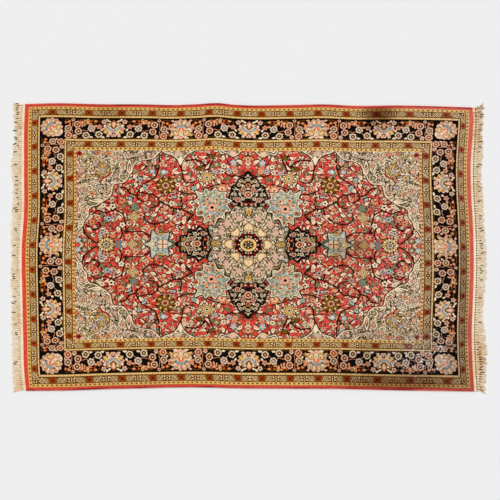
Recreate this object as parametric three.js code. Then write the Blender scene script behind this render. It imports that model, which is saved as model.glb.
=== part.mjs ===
// A hand-knotted medallion rug of the Kashmir kind, lying flat on a floor.
// X runs along the rug from one fringed end to the other, Y across it, and Z up.
// The origin is on the floor, under the middle of the whole rug with its fringes.
//
// A maker's pieces: the knotted body, an overcast selvedge along each long side, and at each
// short end a flat-woven web whose warps run on as a row of knotted fringe bundles.
// Each piece is drawn straight and square first, and then laid down as the used rug lies,
// with its edges a little wavy.
import * as THREE from "three";
import { mergeGeometries, mergeVertices } from "three/addons/utils/BufferGeometryUtils.js";

// Driving sizes, in millimetres
const PILE_LENGTH = 1900;
const RUG_WIDTH = 1205;
const THICKNESS = 7;
const BODY_ROUNDING = 1.6;
const SELVEDGE_WIDTH = 7;
const SELVEDGE_ROUNDING = 2.2;
const WEB_WIDTH = 11;
const WEB_THICKNESS = 2.4;
const PIECE_GAP = 0.3;
const STEP = 36; // between points along an edge

// How far each edge strays outwards from the straight line, at places along it
const STRAY = {
  north: [
    { along: -940, out: 3.5 },
    { along: -835, out: 6.5 },
    { along: -635, out: 2.5 },
    { along: -430, out: 1.5 },
    { along: -330, out: -1 },
    { along: -228, out: 2 },
    { along: -127, out: 7 },
    { along: -70, out: 1 },
    { along: -20, out: -2 },
    { along: 178, out: -1 },
    { along: 330, out: 1.5 },
    { along: 432, out: -3.5 },
    { along: 635, out: -3 },
    { along: 840, out: -7.5 },
    { along: 945, out: -11.5 },
  ],
  south: [
    { along: -930, out: 7 },
    { along: -780, out: 6 },
    { along: -626, out: 0.5 },
    { along: -423, out: -4.5 },
    { along: -320, out: -7 },
    { along: -169, out: -6.5 },
    { along: -67, out: -3.5 },
    { along: 136, out: -2 },
    { along: 390, out: -0.5 },
    { along: 593, out: 4.5 },
    { along: 745, out: 7 },
    { along: 948, out: 10 },
  ],
  west: [
    { along: -602, out: -11 },
    { along: -520, out: -3 },
    { along: -368, out: 1 },
    { along: -165, out: 5.5 },
    { along: -64, out: 7.5 },
    { along: 0, out: 7 },
    { along: 139, out: -2 },
    { along: 340, out: -2.5 },
    { along: 495, out: -3 },
    { along: 602, out: -7 },
  ],
  east: [
    { along: -602, out: 8 },
    { along: -521, out: 2.5 },
    { along: -343, out: -3 },
    { along: -216, out: 1.5 },
    { along: -64, out: 5.5 },
    { along: 0, out: 5 },
    { along: 139, out: 0 },
    { along: 241, out: -6 },
    { along: 360, out: -7.5 },
    { along: 495, out: 0.5 },
    { along: 546, out: 3 },
    { along: 602, out: 0 },
  ],
};

// A fringe bundle: a neck out of the web, a raised knot, and a tail that lies on the floor.
// Each row is a place out from the web, a width as a share of the bundles' spacing, a height
// as a share of the web's thickness, and how much of the tail's lean it has.
const BUNDLE = {
  neck: { out: 0, width: 0.45, height: 1, lean: 0 },
  knot: { out: 6, width: 0.72, height: 1.8, lean: 0 },
  tail: { out: 10, width: 0.62, height: 1, lean: 0.2 },
  tip: { width: 0.52, height: 1, lean: 1 },
};

// The fringe at each end: which way it points, how many bundles it has, how far the bundle at
// each corner fans out sideways, and how far the tips reach at places along the end
const FRINGE = {
  west: {
    way: -1,
    bundles: 138,
    northFan: 4,
    southFan: 10,
    reach: [
      { along: -606, out: 45 },
      { along: -480, out: 41 },
      { along: -290, out: 39 },
      { along: -230, out: 36 },
      { along: -150, out: 40 },
      { along: -40, out: 33 },
      { along: 100, out: 45 },
      { along: 250, out: 39 },
      { along: 345, out: 46 },
      { along: 460, out: 32 },
      { along: 606, out: 45 },
    ],
  },
  east: {
    way: 1,
    bundles: 115,
    northFan: 20,
    southFan: 14,
    reach: [
      { along: -606, out: 38 },
      { along: -410, out: 55 },
      { along: -285, out: 38 },
      { along: -80, out: 46 },
      { along: 150, out: 41 },
      { along: 240, out: 43 },
      { along: 317, out: 37 },
      { along: 400, out: 42 },
      { along: 505, out: 33 },
      { along: 606, out: 40 },
    ],
  },
};
const FANNED = 5; // bundles at each corner that share in the fan
const CLUMPS = [3, 5, 2, 4, 6, 3, 2, 5]; // bundles whose tails cling together, over and over
const CLING = 0.2; // how much closer together the tips of a clump are than its knots
const UNEVEN = 3; // how much one tip reaches past or short of its neighbours
const UNEVEN_TURN = 2.4; // radians from one bundle to the next, so that no row shows

const selvedgeY = RUG_WIDTH / 2 - SELVEDGE_WIDTH;
const bodyY = selvedgeY - PIECE_GAP;
const stepsAlong = (length) => Math.round(length / STEP);

// A smooth curve through the rows of a table of places
function curveThrough(rows) {
  const places = rows.map((row) => row.along);
  const curve = new THREE.CubicInterpolant(
    places,
    rows.map((row) => row.out),
    1,
  );
  const last = places[places.length - 1];
  return (along) => curve.evaluate(THREE.MathUtils.clamp(along, places[0], last))[0];
}

const stray = {
  north: curveThrough(STRAY.north),
  south: curveThrough(STRAY.south),
  west: curveThrough(STRAY.west),
  east: curveThrough(STRAY.east),
};

// Lays a straight piece down as the rug lies
function layDown(geometry) {
  const { lerp } = THREE.MathUtils;
  const position = geometry.getAttribute("position");
  for (let i = 0; i < position.count; i++) {
    const x = position.getX(i);
    const y = position.getY(i);
    const eastward = x / PILE_LENGTH + 0.5;
    const northward = y / RUG_WIDTH + 0.5;
    position.setX(i, x + lerp(-stray.west(y), stray.east(y), eastward));
    position.setY(i, y + lerp(-stray.south(x), stray.north(x), northward));
  }
  geometry.computeVertexNormals();
  return geometry;
}

// Points around a square from -1 to 1, from its south-west corner and anticlockwise
function squareRim(columns, rows) {
  const rim = [];
  for (let k = 0; k < columns; k++) rim.push([(2 * k) / columns - 1, -1]);
  for (let k = 0; k < rows; k++) rim.push([1, (2 * k) / rows - 1]);
  for (let k = 0; k < columns; k++) rim.push([1 - (2 * k) / columns, 1]);
  for (let k = 0; k < rows; k++) rim.push([-1, 1 - (2 * k) / rows]);
  return rim;
}

// The knotted body is a flat round slab whose rim is spread out to the rug's outline.
// Its edges are rounded over, so the lowest and highest points of the rim lie further in.
function knottedBody() {
  const rim = squareRim(stepsAlong(PILE_LENGTH), stepsAlong(2 * bodyY));
  const levels = [
    { inset: BODY_ROUNDING, height: 0 },
    { inset: 0, height: BODY_ROUNDING },
    { inset: 0, height: THICKNESS - BODY_ROUNDING },
    { inset: BODY_ROUNDING, height: THICKNESS },
  ];
  const gaps = levels.length - 1;
  const geometry = new THREE.CylinderGeometry(1, 1, gaps, rim.length, gaps);
  geometry.rotateX(Math.PI / 2);
  const position = geometry.getAttribute("position");
  for (let i = 0; i < position.count; i++) {
    const x = position.getX(i);
    const y = position.getY(i);
    const { inset, height } = levels[Math.round(position.getZ(i) + gaps / 2)];
    const turns = 1 + Math.atan2(x, -y) / (2 * Math.PI);
    const isMiddle = Math.hypot(x, y) < 0.5;
    const [u, v] = isMiddle ? [0, 0] : rim[Math.round(turns * rim.length) % rim.length];
    position.setXYZ(i, u * (PILE_LENGTH / 2 - inset), v * (bodyY - inset), height);
  }
  return layDown(geometry);
}

// An overcast selvedge is a cord with a rounded section, along the rug between two places in Y
function selvedge(y0, y1) {
  const w = y1 - y0;
  const h = THICKNESS;
  const r = SELVEDGE_ROUNDING;
  const section = new THREE.Shape();
  section.moveTo(r, 0).lineTo(w - r, 0).lineTo(w, r).lineTo(w, h - r);
  section.lineTo(w - r, h).lineTo(r, h).lineTo(0, h - r).lineTo(0, r).closePath();
  const geometry = new THREE.ExtrudeGeometry(section, {
    depth: PILE_LENGTH,
    steps: stepsAlong(PILE_LENGTH),
    bevelEnabled: false,
  });
  const sectionAcross = new THREE.Vector3(0, 1, 0);
  const sectionUp = new THREE.Vector3(0, 0, 1);
  const along = new THREE.Vector3(1, 0, 0);
  geometry.applyMatrix4(new THREE.Matrix4().makeBasis(sectionAcross, sectionUp, along));
  return layDown(geometry.translate(-PILE_LENGTH / 2, y0, 0));
}

// A box whose points go where a function puts them, given how far out, across and up they are.
// Out runs from 0 to 1 in the given way along X, and the box is turned, not mirrored, for it.
function shapedBox(way, outSteps, acrossSteps, placeOf) {
  const geometry = new THREE.BoxGeometry(1, 1, 1, outSteps, acrossSteps, 1);
  const position = geometry.getAttribute("position");
  for (let i = 0; i < position.count; i++) {
    const out = position.getX(i) + 0.5;
    const across = way * position.getY(i) + 0.5;
    const up = position.getZ(i) + 0.5;
    position.setXYZ(i, ...placeOf(out, across, up));
  }
  geometry.deleteAttribute("normal");
  geometry.deleteAttribute("uv");
  return geometry;
}

// How far sideways each tail leans: towards the middle of its clump, and outwards at a corner
function leansOf({ bundles, northFan, southFan }, pitch) {
  const leans = [];
  for (let c = 0; leans.length < bundles; c++) {
    const size = Math.min(CLUMPS[c % CLUMPS.length], bundles - leans.length);
    for (let k = 0; k < size; k++) leans.push(((size - 1) / 2 - k) * pitch * CLING);
  }
  return leans.map((lean, i) => {
    const nearSouth = Math.max(0, 1 - i / FANNED);
    const nearNorth = Math.max(0, 1 - (bundles - 1 - i) / FANNED);
    return lean + northFan * nearNorth ** 2 - southFan * nearSouth ** 2;
  });
}

// The web and its bundles are one piece, as the same warps run through both
function fringe(side) {
  const { way, bundles } = side;
  const pitch = RUG_WIDTH / bundles;
  const reachAt = curveThrough(side.reach);
  const inner = PILE_LENGTH / 2 + PIECE_GAP;
  const outer = inner + WEB_WIDTH;
  const south = -RUG_WIDTH / 2;

  const joints = [];
  const pieces = leansOf(side, pitch).map((lean, i) => {
    const y = south + (i + 0.5) * pitch;
    const reach = reachAt(y) + UNEVEN * Math.sin(i * UNEVEN_TURN);
    const stations = [BUNDLE.neck, BUNDLE.knot, BUNDLE.tail, { ...BUNDLE.tip, out: reach }];
    joints.push(y - (BUNDLE.neck.width * pitch) / 2, y + (BUNDLE.neck.width * pitch) / 2);
    const bundle = shapedBox(way, stations.length - 1, 1, (out, across, up) => {
      const s = stations[Math.round(out * (stations.length - 1))];
      const sideways = s.lean * lean + (across - 0.5) * s.width * pitch;
      return [way * (outer + s.out), y + sideways, up * s.height * WEB_THICKNESS];
    });
    return openAtWeb(bundle);
  });

  const borders = [south, ...joints, -south];
  const cells = borders.length - 1;
  const web = shapedBox(way, 1, cells, (out, across, up) => [
    way * (inner + out * WEB_WIDTH),
    borders[Math.round(across * cells)],
    up * WEB_THICKNESS,
  ]);
  pieces.push(openAtBundles(web));
  return layDown(mergeVertices(mergeGeometries(pieces)));
}

// The face by which a bundle joins the web is left out, which is the box's inmost face
function openAtWeb(geometry) {
  const [, inmost] = geometry.groups;
  const kept = [...geometry.index.array];
  kept.splice(inmost.start, inmost.count);
  geometry.clearGroups();
  return geometry.setIndex(kept);
}

// Every second cell of the web's outmost face is left out, where a bundle joins it
function openAtBundles(geometry) {
  const [outmost] = geometry.groups;
  const indicesPerCell = 6;
  const isOpen = (i) => i < outmost.count && Math.floor(i / indicesPerCell) % 2 === 1;
  const kept = [...geometry.index.array].filter((_, i) => !isOpen(i));
  geometry.clearGroups();
  return geometry.setIndex(kept);
}

const wool = new THREE.MeshStandardMaterial({ color: 0xa8553f, roughness: 0.85, metalness: 0 });
const overcasting = new THREE.MeshStandardMaterial({ color: 0xd2413a, roughness: 0.8, metalness: 0 });
const cotton = new THREE.MeshStandardMaterial({ color: 0xecd3a8, roughness: 0.9, metalness: 0 });

function piece(name, geometry, material) {
  const mesh = new THREE.Mesh(geometry, material);
  mesh.name = name;
  return mesh;
}

const rug = new THREE.Group();
rug.add(
  piece("pile_body", knottedBody(), wool),
  piece("selvedge_north", selvedge(selvedgeY, RUG_WIDTH / 2), overcasting),
  piece("selvedge_south", selvedge(-RUG_WIDTH / 2, -selvedgeY), overcasting),
  piece("fringe_west", fringe(FRINGE.west), cotton),
  piece("fringe_east", fringe(FRINGE.east), cotton),
);

// The origin goes under the middle of the whole rug
const middle = new THREE.Box3().setFromObject(rug).getCenter(new THREE.Vector3());
rug.position.set(-middle.x, -middle.y, 0);

export default rug;
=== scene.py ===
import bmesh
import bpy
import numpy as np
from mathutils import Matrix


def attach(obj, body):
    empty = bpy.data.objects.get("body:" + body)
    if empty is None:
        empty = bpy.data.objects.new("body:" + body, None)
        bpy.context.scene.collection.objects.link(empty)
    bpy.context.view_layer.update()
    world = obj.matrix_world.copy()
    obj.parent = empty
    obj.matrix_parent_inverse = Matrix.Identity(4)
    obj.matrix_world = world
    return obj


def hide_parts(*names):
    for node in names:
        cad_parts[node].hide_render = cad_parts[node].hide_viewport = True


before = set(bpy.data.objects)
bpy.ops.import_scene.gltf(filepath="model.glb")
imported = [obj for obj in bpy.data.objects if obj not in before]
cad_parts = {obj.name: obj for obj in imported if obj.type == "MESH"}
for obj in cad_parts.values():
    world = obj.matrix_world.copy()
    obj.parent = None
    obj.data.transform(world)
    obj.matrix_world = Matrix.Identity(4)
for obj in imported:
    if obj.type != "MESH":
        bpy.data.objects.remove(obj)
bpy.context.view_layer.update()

# %% [markdown]
# # A hand-knotted rug of the Kashmir kind
#
# The rug lies flat with its pile up. It has a knotted body, a red overcast selvedge along each
# long side, and at each end a narrow flat-woven web whose warps run on as a knotted fringe.
# The solids of the frame already have the right outline, so each piece made here keeps to the same
# wavy outline and adds what the solids leave out: the knots and their colours, the turns of the
# overcasting, the weave of the webs and the yarns of the fringe.

# %% [markdown]
# ## How the rug lies
#
# A knotted rug is never quite straight: its edges wander by a few millimetres, and the whole
# pattern goes with them. The simplest way to get that is to make every piece straight, in
# millimetres about the middle of the pile, and to lay it down at the end with one function. Each
# edge has a short table of how far it strays outwards, and a smooth curve through the table. A point
# between two edges moves by its share of both. The tables are the ones that the solids have.

# %% The wandering edges
PILE_LENGTH = 1900
RUG_WIDTH = 1205
THICKNESS = 7
MIDDLE = (-3.3993, 6.2138)  # of the pile, from the middle of the rug with its fringes

# Places along the edge, and how far out it strays there, in mm
NORTH = [(-940, 3.5), (-835, 6.5), (-635, 2.5), (-430, 1.5), (-330, -1), (-228, 2), (-127, 7),
         (-70, 1), (-20, -2), (178, -1), (330, 1.5), (432, -3.5), (635, -3), (840, -7.5), (945, -11.5)]
SOUTH = [(-930, 7), (-780, 6), (-626, 0.5), (-423, -4.5), (-320, -7), (-169, -6.5), (-67, -3.5),
         (136, -2), (390, -0.5), (593, 4.5), (745, 7), (948, 10)]
WEST = [(-602, -11), (-520, -3), (-368, 1), (-165, 5.5), (-64, 7.5), (0, 7), (139, -2), (340, -2.5),
        (495, -3), (602, -7)]
EAST = [(-602, 8), (-521, 2.5), (-343, -3), (-216, 1.5), (-64, 5.5), (0, 5), (139, 0), (241, -6),
        (360, -7.5), (495, 0.5), (546, 3), (602, 0)]
print("strays up to", max(abs(out) for edge in (NORTH, SOUTH, WEST, EAST) for _, out in edge), "mm")

# %% Laying down


def curve_through(table, places):
    """A smooth curve through the rows of a table, read at some places."""
    at, out = np.array(table, float).T
    slope = np.gradient(out, at)
    places = np.clip(places, at[0], at[-1])
    i = np.clip(np.searchsorted(at, places) - 1, 0, len(at) - 2)
    span = at[i + 1] - at[i]
    t = (places - at[i]) / span
    rise = out[i + 1] - out[i]
    bend = (slope[i] * span - rise) * (1 - t) - (slope[i + 1] * span - rise) * t
    return out[i] + rise * t + bend * t * (1 - t)


def lay_down(points):
    """Moves straight points in mm to where the rug lies, in metres."""
    x, y, z = np.asarray(points, float).T
    eastward = x / PILE_LENGTH + 0.5
    northward = y / RUG_WIDTH + 0.5
    west, east = curve_through(WEST, y), curve_through(EAST, y)
    south, north = curve_through(SOUTH, x), curve_through(NORTH, x)
    laid_x = x + east * eastward - west * (1 - eastward) + MIDDLE[0]
    laid_y = y + north * northward - south * (1 - northward) + MIDDLE[1]
    return np.stack([laid_x, laid_y, z], axis=1) / 1000


def move_points(bm, place):
    """Moves all points of a bmesh at once, by a function of an array of their places."""
    bm.verts.index_update()
    points = place(np.array([v.co[:] for v in bm.verts]))
    for vert, point in zip(bm.verts, points):
        vert.co = point


print("laid corners", lay_down([(-950, -602.5, 0), (950, 602.5, 0)]).round(4).tolist())

# %% [markdown]
# ## Camera, floor and light
#
# The rug is seen from straight above. A long lens from far up gives almost no perspective, as in a
# picture of a whole rug. The floor is a plain pale plane that isn't part of the rug. A broad light
# that is equally strong everywhere, with an even pale sky, keeps the shadows soft, the floor even
# and the colours true.

# %% Camera and floor
VIEW_WIDTH = 2.1165  # metres of rug and floor across the picture
VIEW_MIDDLE = (0.0055, -0.0067)
LENS, SENSOR = 100, 36

camera = bpy.data.objects.new("camera", bpy.data.cameras.new("camera"))
bpy.context.collection.objects.link(camera)
camera.data.lens, camera.data.sensor_width = LENS, SENSOR
camera.location = (*VIEW_MIDDLE, THICKNESS / 1000 + VIEW_WIDTH * LENS / SENSOR)
bpy.context.scene.camera = camera

FLOOR_REACH = 15  # metres to each side

bm = bmesh.new()
bmesh.ops.create_grid(bm, x_segments=1, y_segments=1, size=FLOOR_REACH)
floor_mesh = bpy.data.meshes.new("floor")
bm.to_mesh(floor_mesh)
bm.free()
floor = bpy.data.objects.new("floor", floor_mesh)
bpy.context.collection.objects.link(floor)
print("camera height", round(camera.location.z, 3), "m")

# %% Light
scene = bpy.context.scene
scene.view_settings.view_transform = "Standard"
scene.world = bpy.data.worlds.new("even pale sky")
scene.world.use_nodes = True
sky = scene.world.node_tree.nodes["Background"]
sky.inputs["Color"].default_value = (1, 1, 1, 1)
sky.inputs["Strength"].default_value = 0.55

lamp = bpy.data.objects.new("broad light", bpy.data.lights.new("broad light", "SUN"))
bpy.context.collection.objects.link(lamp)
lamp.data.angle = np.radians(50)  # as wide as a large softbox close by
lamp.data.energy = 1.6
lamp.location = (-1.6, 2.2, 4.2)
lamp.rotation_euler = (-lamp.location).to_track_quat("-Z", "Y").to_euler()
print("light", lamp.data.energy, "W per square metre")

# %% [markdown]
# ## Colours and nodes
#
# Dyers' colours are written as sRGB hex values, as they are read off a screen, and one function
# turns them to the linear values that shaders use. One more function adds a node with its settings,
# its links and the stops of its ramp, so that each material reads as a short recipe. Where a node is
# given as an input, its first output is linked.

# %% Helpers for materials


def dye(hex_value):
    """An sRGB hex value as a linear colour."""
    channels = np.array([int(hex_value[i : i + 2], 16) for i in (0, 2, 4)]) / 255
    linear = np.where(channels <= 0.04045, channels / 12.92, ((channels + 0.055) / 1.055) ** 2.4)
    return (*linear.tolist(), 1)


def add_node(tree, kind, inputs=(), ramp=(), **settings):
    """Adds a node. Its inputs, by name or in order, are values, outputs to link, or other nodes."""
    node = tree.nodes.new("ShaderNode" + kind)
    for name, value in settings.items():
        setattr(node, name, value)
    for number, (at, hex_value) in enumerate(ramp):
        stops = node.color_ramp.elements
        stop = stops.new(at) if number > 1 else stops[number]
        stop.position, stop.color = at, dye(hex_value)
    for socket, value in inputs.items() if isinstance(inputs, dict) else enumerate(inputs):
        if isinstance(value, bpy.types.Node):
            value = value.outputs[0]
        if isinstance(value, bpy.types.NodeSocket):
            tree.links.new(value, node.inputs[socket])
        else:
            node.inputs[socket].default_value = value
    return node


def new_material(name):
    """A material with no nodes yet, and the tree that they go in."""
    material = bpy.data.materials.new(name)
    material.use_nodes = True
    material.node_tree.nodes.clear()
    return material, material.node_tree


def finish_material(tree, inputs, height=None, distance=0.0):
    """The Principled shader with its inputs, and a bump where a height is given."""
    if height is not None:
        inputs = inputs | {"Normal": add_node(tree, "Bump", {"Height": height, "Distance": distance})}
    add_node(tree, "OutputMaterial", {"Surface": add_node(tree, "BsdfPrincipled", inputs)})


print("sRGB 808080 is", round(dye("808080")[0], 3), "of white")

# %% The floor's paint
painted_floor, tree = new_material("matt painted floor")
finish_material(tree, {"Base Color": dye("f1f1f1"), "Roughness": 0.9})
floor.data.materials.append(painted_floor)
print("materials", [material.name for material in bpy.data.materials])

# %% [markdown]
# ## The chart
#
# A knotted rug is drawn first as a chart on squared paper, one dye to a square, and the weavers
# follow it knot by knot. The same is done here: an array holds the number of a dye for each knot of
# one quarter of the rug, and shapes are painted on it, layer over layer. The four quarters are
# mirror images, as in most rugs with a medallion.
#
# A knot is about 1.5 mm along the rug and 1.3 mm across it. That is 17 rows of knots to the inch, and
# 19 knots to the inch in each. Places on paper are in squares of three knots. On the quarter's paper
# they count from the middle of the rug, x towards the end and y towards the long side.

# %% Knots and dyes
DYES = {
    "madder": "e65f57",
    "crimson": "a42420",
    "midnight": "0c0606",
    "gold": "e6ba74",
    "brown": "80501f",
    "olive": "5d4a28",
    "cream": "f9e2be",
    "salmon": "e8986c",
    "rose": "eeb494",
    "pale_blue": "b0bfba",
    "blue": "6c838e",
    "leaf_green": "80805a",
    "orange": "c9602f",
    "maroon": "38120a",
    "sand": "e8ceac",
    "mauve": "bf9c92",
}
NUMBER = {name: number for number, name in enumerate(DYES)}

SQUARE = 3  # knots along each side of a square of the paper
QUARTER = (210, 152)  # squares along and across
BLOCK = 6  # knots along each side of one face of the pile
BLOCKS = (2 * QUARTER[0] * SQUARE // BLOCK, 2 * QUARTER[1] * SQUARE // BLOCK)


def new_paper(width, height, dye_name):
    """Squared paper of one dye, given its size in squares."""
    return np.full((round(height * SQUARE), round(width * SQUARE)), NUMBER[dye_name], np.uint8)


chart = new_paper(*QUARTER, "madder")
print("blocks", BLOCKS, "knots in a quarter", chart.shape)

# %% [markdown]
# ### Brushes
#
# Four brushes draw everything. A spot is a disc or a ring of petals, a leaf is pointed at both ends,
# a stem is a smooth line through a few places, and a patch is the inside of a smooth outline. Each
# looks only at the knots near it, which keeps a thousand strokes quick.

# %% Spot and leaf


def knots_near(paper, x, y, reach):
    """The part of the paper within reach of a place, and how far its knots are from there."""
    ranges = []
    for middle, limit in ((y, paper.shape[0]), (x, paper.shape[1])):
        first, last = np.clip([(middle - reach) * SQUARE, (middle + reach) * SQUARE + 1], 0, limit)
        ranges.append(range(int(first), int(last)))
    rows, columns = ranges
    part = paper[rows.start : rows.stop, columns.start : columns.stop]
    across = (np.array(columns)[None, :] + 0.5) / SQUARE - x
    up = (np.array(rows)[:, None] + 0.5) / SQUARE - y
    return part, across, up


def heading(turn):
    """How far one step in a direction, in degrees, goes across and up the paper."""
    return np.cos(np.radians(turn)), np.sin(np.radians(turn))


def spot(paper, x, y, radius, dye_name, petals=0, depth=0.25, turn=0.0, flat=1.0):
    """A disc, or a flower of petals. Flat makes it that much wider than high."""
    part, across, up = knots_near(paper, x, y, radius * max(flat, 1) * (1 + depth))
    across = across / flat
    rim = radius
    if petals:
        rim = radius * (1 + depth * np.cos(petals * (np.arctan2(up, across) - np.radians(turn))))
    part[np.hypot(across, up) < rim] = NUMBER[dye_name]


def leaf(paper, x, y, length, width, turn, dye_name, bend=0.0):
    """A leaf that starts at a place and points in the direction of turn, in degrees."""
    part, across, up = knots_near(paper, x, y, length)
    c, s = heading(turn)
    out = np.clip((across * c + up * s) / length, 0, 1)
    side = np.abs(up * c - across * s - bend * length * out * (1 - out))
    part[side < width / 2 * np.sin(np.pi * out) ** 0.8] = NUMBER[dye_name]


print("brushes: spot and leaf")

# %% Stem and patch
STEPS = 5  # short straight lines between two places of a smooth one


def through(points, closed=False):
    """A smooth line through a few places, back to the first one where it is closed."""
    points = np.array(points, float)
    before, after = 2 * points[:1] - points[1:2], 2 * points[-1:] - points[-2:-1]
    if closed:
        before, after = points[-1:], points[:2]
    p = np.concatenate([before, points, after])
    t = np.linspace(0, 1, STEPS, endpoint=False)[:, None]
    pieces = [
        b + (c - a) * t / 2 + (2 * a - 5 * b + 4 * c - d) * t**2 / 2 + (3 * b - a - 3 * c + d) * t**3 / 2
        for a, b, c, d in zip(p, p[1:], p[2:], p[3:])
    ]
    return np.concatenate([*pieces, p[-2:-1]])


def stem(paper, points, width, dye_name, closed=False):
    """A line of even width through a few places."""
    line = through(points, closed)
    for a, b in zip(line, line[1:]):
        step = b - a
        part, across, up = knots_near(paper, *(a + b) / 2, np.abs(step).max() / 2 + width)
        share = np.clip((across * step[0] + up * step[1]) / max(step @ step, 1e-9), -0.5, 0.5)
        part[np.hypot(across - share * step[0], up - share * step[1]) < width / 2] = NUMBER[dye_name]


def patch(paper, points, dye_name):
    """The inside of a smooth outline through a few places."""
    line = through(points, closed=True)
    low, high = line.min(axis=0), line.max(axis=0)
    middle, reach = (low + high) / 2, np.max(high - low) / 2 + 0.5
    part, across, up = knots_near(paper, *middle, reach)
    inside = np.zeros(part.shape, bool)
    line = line - middle
    for a, b in zip(line, line[1:]):
        if a[1] != b[1]:
            crosses = (up > a[1]) != (up > b[1])
            inside ^= crosses & (across < a[0] + (up - a[1]) * (b[0] - a[0]) / (b[1] - a[1]))
    part[inside] = NUMBER[dye_name]


print("brushes: stem and patch")

# %% [markdown]
# ### The stripes of the border
#
# From the outside in, a red edge, a gold guard with brown dots, an olive minor border, a thin gold
# line, the wide midnight border, and the same three narrow ones again. Each stripe runs round the
# rug, so it is drawn once as a straight strip of paper and laid on the quarter twice: along the long
# side, and turned by a right angle along the end. The two meet on the corner's diagonal.

# %% Widths, in squares from the middle
FIELD = (161.4, 101.2)
STRIPES = {  # the inner and outer edge on the ends, and on the long sides
    "inner guard": ((161.4, 163.9), (101.2, 104.6)),
    "inner minor": ((163.9, 170.2), (104.6, 111.3)),
    "inner line": ((170.2, 172.1), (111.3, 113.9)),
    "main": ((172.1, 194.8), (113.9, 136.6)),
    "outer line": ((194.8, 196.7), (136.6, 139.2)),
    "outer minor": ((196.7, 203.3), (139.2, 146.5)),
    "outer guard": ((203.3, 206.1), (146.5, 150.2)),
    "red edge": ((206.1, 210), (150.2, 152)),
}


def lay_stripe(name, draw):
    """Lays a stripe on the chart. Draw makes its paper from a length, a width and where it goes."""
    (in_x, out_x), (in_y, out_y) = STRIPES[name]
    across, up = np.meshgrid(np.arange(chart.shape[1]) / SQUARE, np.arange(chart.shape[0]) / SQUARE)
    on_side = (up >= in_y) & (up < out_y) & (across < out_x)
    on_end = (across >= in_x) & (across < out_x) & (up < out_y)
    past_diagonal = (across - in_x) * (out_y - in_y) > (up - in_y) * (out_x - in_x)
    side = draw(out_x, out_y - in_y, on_end=False)
    end = draw(out_y, out_x - in_x, on_end=True)
    for mask, paper, along, over in (
        (on_side & ~past_diagonal, side, across, up - in_y),
        (on_end & past_diagonal, end, up, across - in_x),
    ):
        rows = np.minimum((over[mask] * SQUARE + 0.5).astype(int), paper.shape[0] - 1)
        columns = np.minimum((along[mask] * SQUARE + 0.5).astype(int), paper.shape[1] - 1)
        chart[mask] = paper[rows, columns]


print("stripes", list(STRIPES))

# %% [markdown]
# Each narrow stripe has its own drawing function. The guard has dots, the thin line has beads, and
# the red edge is plain, with knots of a deeper and a paler red strewn in.

# %% Guard, thin line and red edge


def guard(length, width, on_end):
    """Brown dots on gold, with a thin brown seam at the outer edge."""
    paper = new_paper(length, width, "gold")
    pitch = 4.15 if on_end else 4.35
    for x in np.arange(pitch / 2, length, pitch):
        spot(paper, x, width / 2, min(width * 0.32, 0.92), "brown", flat=1.2)
    stem(paper, [(0, width), (length, width)], 0.4, "brown")
    return paper


def thin_line(length, width, on_end):
    """A gold line with pale and dark beads, and a dark edge on both sides."""
    paper = new_paper(length, width, "gold")
    for first, pitch, radius, bead in ((1, 2.6, 0.5, "cream"), (2.3, 5.2, 0.4, "brown")):
        for x in np.arange(first, length, pitch):
            spot(paper, x, width / 2, radius, bead)
    stem(paper, [(0, 0), (length, 0)], 0.5, "brown")
    stem(paper, [(0, width), (length, width)], 0.5, "maroon")
    return paper


def red_edge(length, width, on_end):
    """A plain red stripe, flecked with a deeper and a paler red."""
    paper = new_paper(length, width, "madder")
    chance = np.random.default_rng(3).random(paper.shape)
    paper[chance < 0.13] = NUMBER["crimson"]
    paper[chance > 0.93] = NUMBER["salmon"]
    return paper


for name, draw in (("red edge", red_edge), ("outer guard", guard), ("inner guard", guard),
                   ("outer line", thin_line), ("inner line", thin_line)):
    lay_stripe(name, draw)
print("narrow stripes laid")

# %% [markdown]
# In the minor border a red rosette and a small white flower take turns, and slanting bars fill the
# gap between them. The weavers stretched it towards the corners of the long sides, to come out with
# a whole flower there, and the inner one starts a little further on than the outer one.

# %% Flowers of the minor borders


def red_rosette(paper, x, middle, width, rich):
    """Four red spots round a dark middle, with small green dots. Rich ones have a paler red in them."""
    spot(paper, x, middle, width * 0.5, "brown", 4, 0.12, 45, flat=1.15)
    for turn in range(45, 405, 90):
        c, s = heading(turn)
        spot(paper, x + 2.5 * c, middle + 2.5 * s, 1.15, "crimson")
        if rich:
            spot(paper, x + 2.5 * c, middle + 2.5 * s, 0.55, "madder")
        spot(paper, x + 3.6 * s, middle + 2.4 * c, 0.45, "leaf_green")
    spot(paper, x, middle, 1.1, "maroon")


def white_flower(paper, x, middle, width):
    """Five cream dots in a cross, and two gold ones."""
    spot(paper, x, middle, width * 0.42, "brown", 4, 0.15, flat=1.2)
    spot(paper, x, middle, 1.3, "maroon")
    for a, b in ((2.3, 1.3), (-2.3, 1.3), (2.3, -1.3), (-2.3, -1.3), (0, 0)):
        spot(paper, x + a, middle + b, 0.65, "cream")
    for b in (2.0, -2.0):
        spot(paper, x, middle + b, 0.65, "gold")


print("flowers: red rosette, white flower")

# %% The minor borders
SIDE_PITCH, END_PITCH = 13.25, 13.1  # squares from one flower to the next
STRETCH = 0.3
INNER_SHIFT = 5.0
BARS = [
    (-4.4, "gold"), (-3.4, "maroon"), (-2.6, "gold"), (-1.7, "brown"), (-0.8, "cream"), (0.1, "maroon"),
    (1.0, "gold"), (1.9, "brown"), (2.8, "sand"), (3.8, "brown"), (4.6, "gold"),
]


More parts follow.
